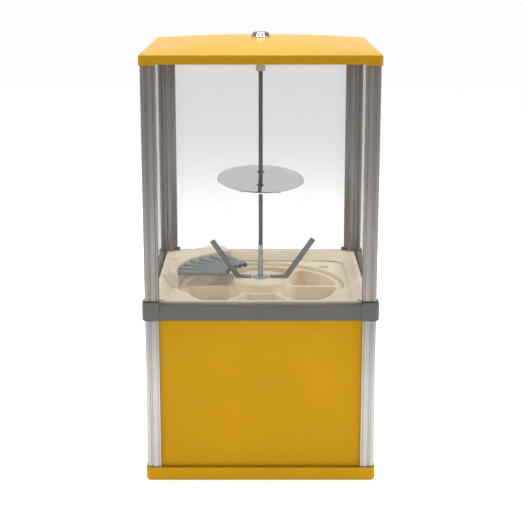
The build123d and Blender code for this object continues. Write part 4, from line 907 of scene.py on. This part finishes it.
class VENDOR_OT_hopper(bpy.types.Operator):
    """Hopper tray, its rubber strip, window clips and screws"""

    bl_idname = "vendor.hopper"
    bl_label = "Hopper"

    def execute(self, context):
        refined("hopper_tray", "cabinet", "hopper_plastic", "hopper", 0.7, segments=3)
        refined("tray_gasket", "cabinet", "black_rubber", "rubber", 0.3)
        refined("window_clips", "cabinet", "black_plastic", "black", 0.5)
        refined("hopper_screws", "cabinet", "screw_steel", "screw", 0.12)
        return {"FINISHED"}


class VENDOR_OT_wheel(bpy.types.Operator):
    """Product wheel with its bush, toothed ring and arms"""

    bl_idname = "vendor.wheel"
    bl_label = "Product wheel"

    def execute(self, context):
        refined("product_wheel", "wheel", "wheel_plastic", "wheel", 0.9, segments=3)
        refined("wheel_bush", "wheel", "acetal", "acetal", 0.2)
        refined("drive_ring", "wheel", "acetal", "acetal", 0.2)
        refined("agitator_left", "wheel", "zinc_steel", "arm", 0.35)
        refined("agitator_right", "wheel", "zinc_steel", "arm", 0.35)
        refined("hub_screws", "wheel", "screw_steel", "screw", 0.12)
        return {"FINISHED"}


class VENDOR_OT_springs(bpy.types.Operator):
    """Spring housing and its fan of seven coil springs"""

    bl_idname = "vendor.springs"
    bl_label = "Springs"

    count = 7
    fan = (180.0, 118.0)
    inner = 49.5 * MM
    outer = 126.4 * MM
    tip_size = 2.6 * MM
    tip_middle = -1.1 * MM
    # how much shorter than the spring the dark core of painted shade is
    painted_shade_core_inset = 1.0 * MM

    def coil(self, sizes, radius, length):
        """One spring standing on the origin, closed at both ends, with its tip and a dark core inside the
        coil: painted shade between the turns.
        """
        wire = sizes.spring_wire / 2
        ring = blank("coil")
        bpy.ops.mesh.primitive_circle_add(vertices=8, radius=wire, location=(radius - wire, 0, wire),
                                          rotation=(math.pi / 2, 0, 0))
        turns = int((length - 2 * wire) / sizes.spring_pitch)
        modify(ring, "SCREW", angle=2 * math.pi, screw_offset=sizes.spring_pitch, iterations=turns, steps=16,
               render_steps=16, use_merge_vertices=False)
        edit(ring)
        pick(ring, "edges", lambda e: len(e.link_faces) == 1)
        bpy.ops.mesh.fill_holes(sides=0)
        outward(ring)
        # a dark cylinder inside the coil: painted shade that shows between the turns, not a part of the
        # spring
        core = blank("core")
        bpy.ops.mesh.primitive_cylinder_add(vertices=24, radius=radius - wire,
                                            depth=length - self.painted_shade_core_inset, location=(0, 0, length / 2))
        tip = blank("tip")
        bpy.ops.mesh.primitive_cylinder_add(vertices=24, radius=self.tip_size, depth=self.tip_size,
                                            location=(0, 0, self.tip_middle))
        modify(tip, "BEVEL", width=0.5 * MM, segments=2, limit_method="ANGLE", angle_limit=math.radians(60))
        dress(ring, finishes()["zinc"])
        # the core takes the tip's dark finish as painted shade
        dress(core, finishes()["tip"])
        dress(tip, finishes()["tip"])
        return join([ring, core, tip], "coil")

    def execute(self, context):
        low, high = box("springs")
        height = (low.z + high.z) / 2
        model = self.coil(context.scene.vendor_sizes, (high.z - low.z) / 2, self.outer - self.inner)
        smooth(model, 60)
        first, last = self.fan
        for number in range(self.count):
            angle = math.radians(first + number * (last - first) / (self.count - 1))
            piece = copied(model, "spring_%d" % (number + 1))
            piece.location = (self.inner * math.cos(angle), self.inner * math.sin(angle), height)
            piece.rotation_euler = (0, math.pi / 2, angle)
            settle(piece)
            install(piece, "cabinet", "zinc_steel", "springs")
        bpy.data.objects.remove(model, do_unlink=True)
        refined("spring_housing", "cabinet", "hopper_plastic", "hopper", 0.6)
        return {"FINISHED"}


class VENDOR_OT_coin_mechanism(bpy.types.Operator):
    """Coin plate, handle and the works behind them"""

    bl_idname = "vendor.coin_mechanism"
    bl_label = "Coin mechanism"

    def execute(self, context):
        refined("coin_plate", "cabinet", "chromed_zinc", "chromed_cast", 0.4)
        refined("plate_screws", "cabinet", "screw_steel", "screw", 0.12)
        refined("coin_body", "cabinet", "cast_zinc", "cast", 0.5)
        refined("coin_wheel", "drive", "cast_zinc", "cast", 0.3)
        refined("ratchet_pawl", "pawl", "zinc_steel", "zinc", 0.25)
        refined("drive_shaft", "drive", "zinc_steel", "zinc", 0.4)
        refined("drive_pinion", "drive", "acetal", "acetal", 0.2)
        refined("coin_handle", "drive", "chromed_zinc", "chromed_cast", 0.6, segments=3)
        return {"FINISHED"}


class VENDOR_OT_chute(bpy.types.Operator):
    """Chute, its door and frame, and the coin box"""

    bl_idname = "vendor.chute"
    bl_label = "Chute"

    def execute(self, context):
        refined("chute", "cabinet", "chute_plastic", "chute", 0.5)
        refined("door_frame", "cabinet", "black_plastic", "black", 0.4)
        refined("door_pin", "cabinet", "zinc_steel", "zinc", 0.2)
        refined("chute_door", "door", "door_plastic", "door", 0.4)
        refined("coin_box", "cabinet", "chute_plastic", "chute", 0.4)
        return {"FINISHED"}


OPERATORS = (VENDOR_OT_stage, VENDOR_OT_cabinet, VENDOR_OT_band, VENDOR_OT_lid, VENDOR_OT_lock,
             VENDOR_OT_rod, VENDOR_OT_disc, VENDOR_OT_hopper, VENDOR_OT_wheel, VENDOR_OT_springs,
             VENDOR_OT_coin_mechanism, VENDOR_OT_chute)


class VENDOR_PT_panel(bpy.types.Panel):
    """Lists the pieces of the vendor"""

    bl_idname = "VENDOR_PT_panel"
    bl_label = "Capsule toy vendor"
    bl_space_type = "VIEW_3D"
    bl_region_type = "UI"
    bl_category = "Vendor"

    def draw(self, context):
        for group in (context.scene.vendor_sizes, context.scene.vendor_colours):
            for key in group.__annotations__:
                self.layout.prop(group, key)
        for operator in OPERATORS:
            self.layout.operator(operator.bl_idname)


CLASSES = (VendorSizes, VendorColours) + OPERATORS + (VENDOR_PT_panel,)


def register():
    for item in CLASSES:
        bpy.utils.register_class(item)
    bpy.types.Scene.vendor_sizes = bpy.props.PointerProperty(type=VendorSizes)
    bpy.types.Scene.vendor_colours = bpy.props.PointerProperty(type=VendorColours)


def unregister():
    del bpy.types.Scene.vendor_colours
    del bpy.types.Scene.vendor_sizes
    for item in reversed(CLASSES):
        bpy.utils.unregister_class(item)


def main():
    """Registers the add-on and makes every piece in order."""
    register()
    for operator in OPERATORS:
        group, name = operator.bl_idname.split(".")
        getattr(getattr(bpy.ops, group), name)()


if __name__ == "__main__":
    main()
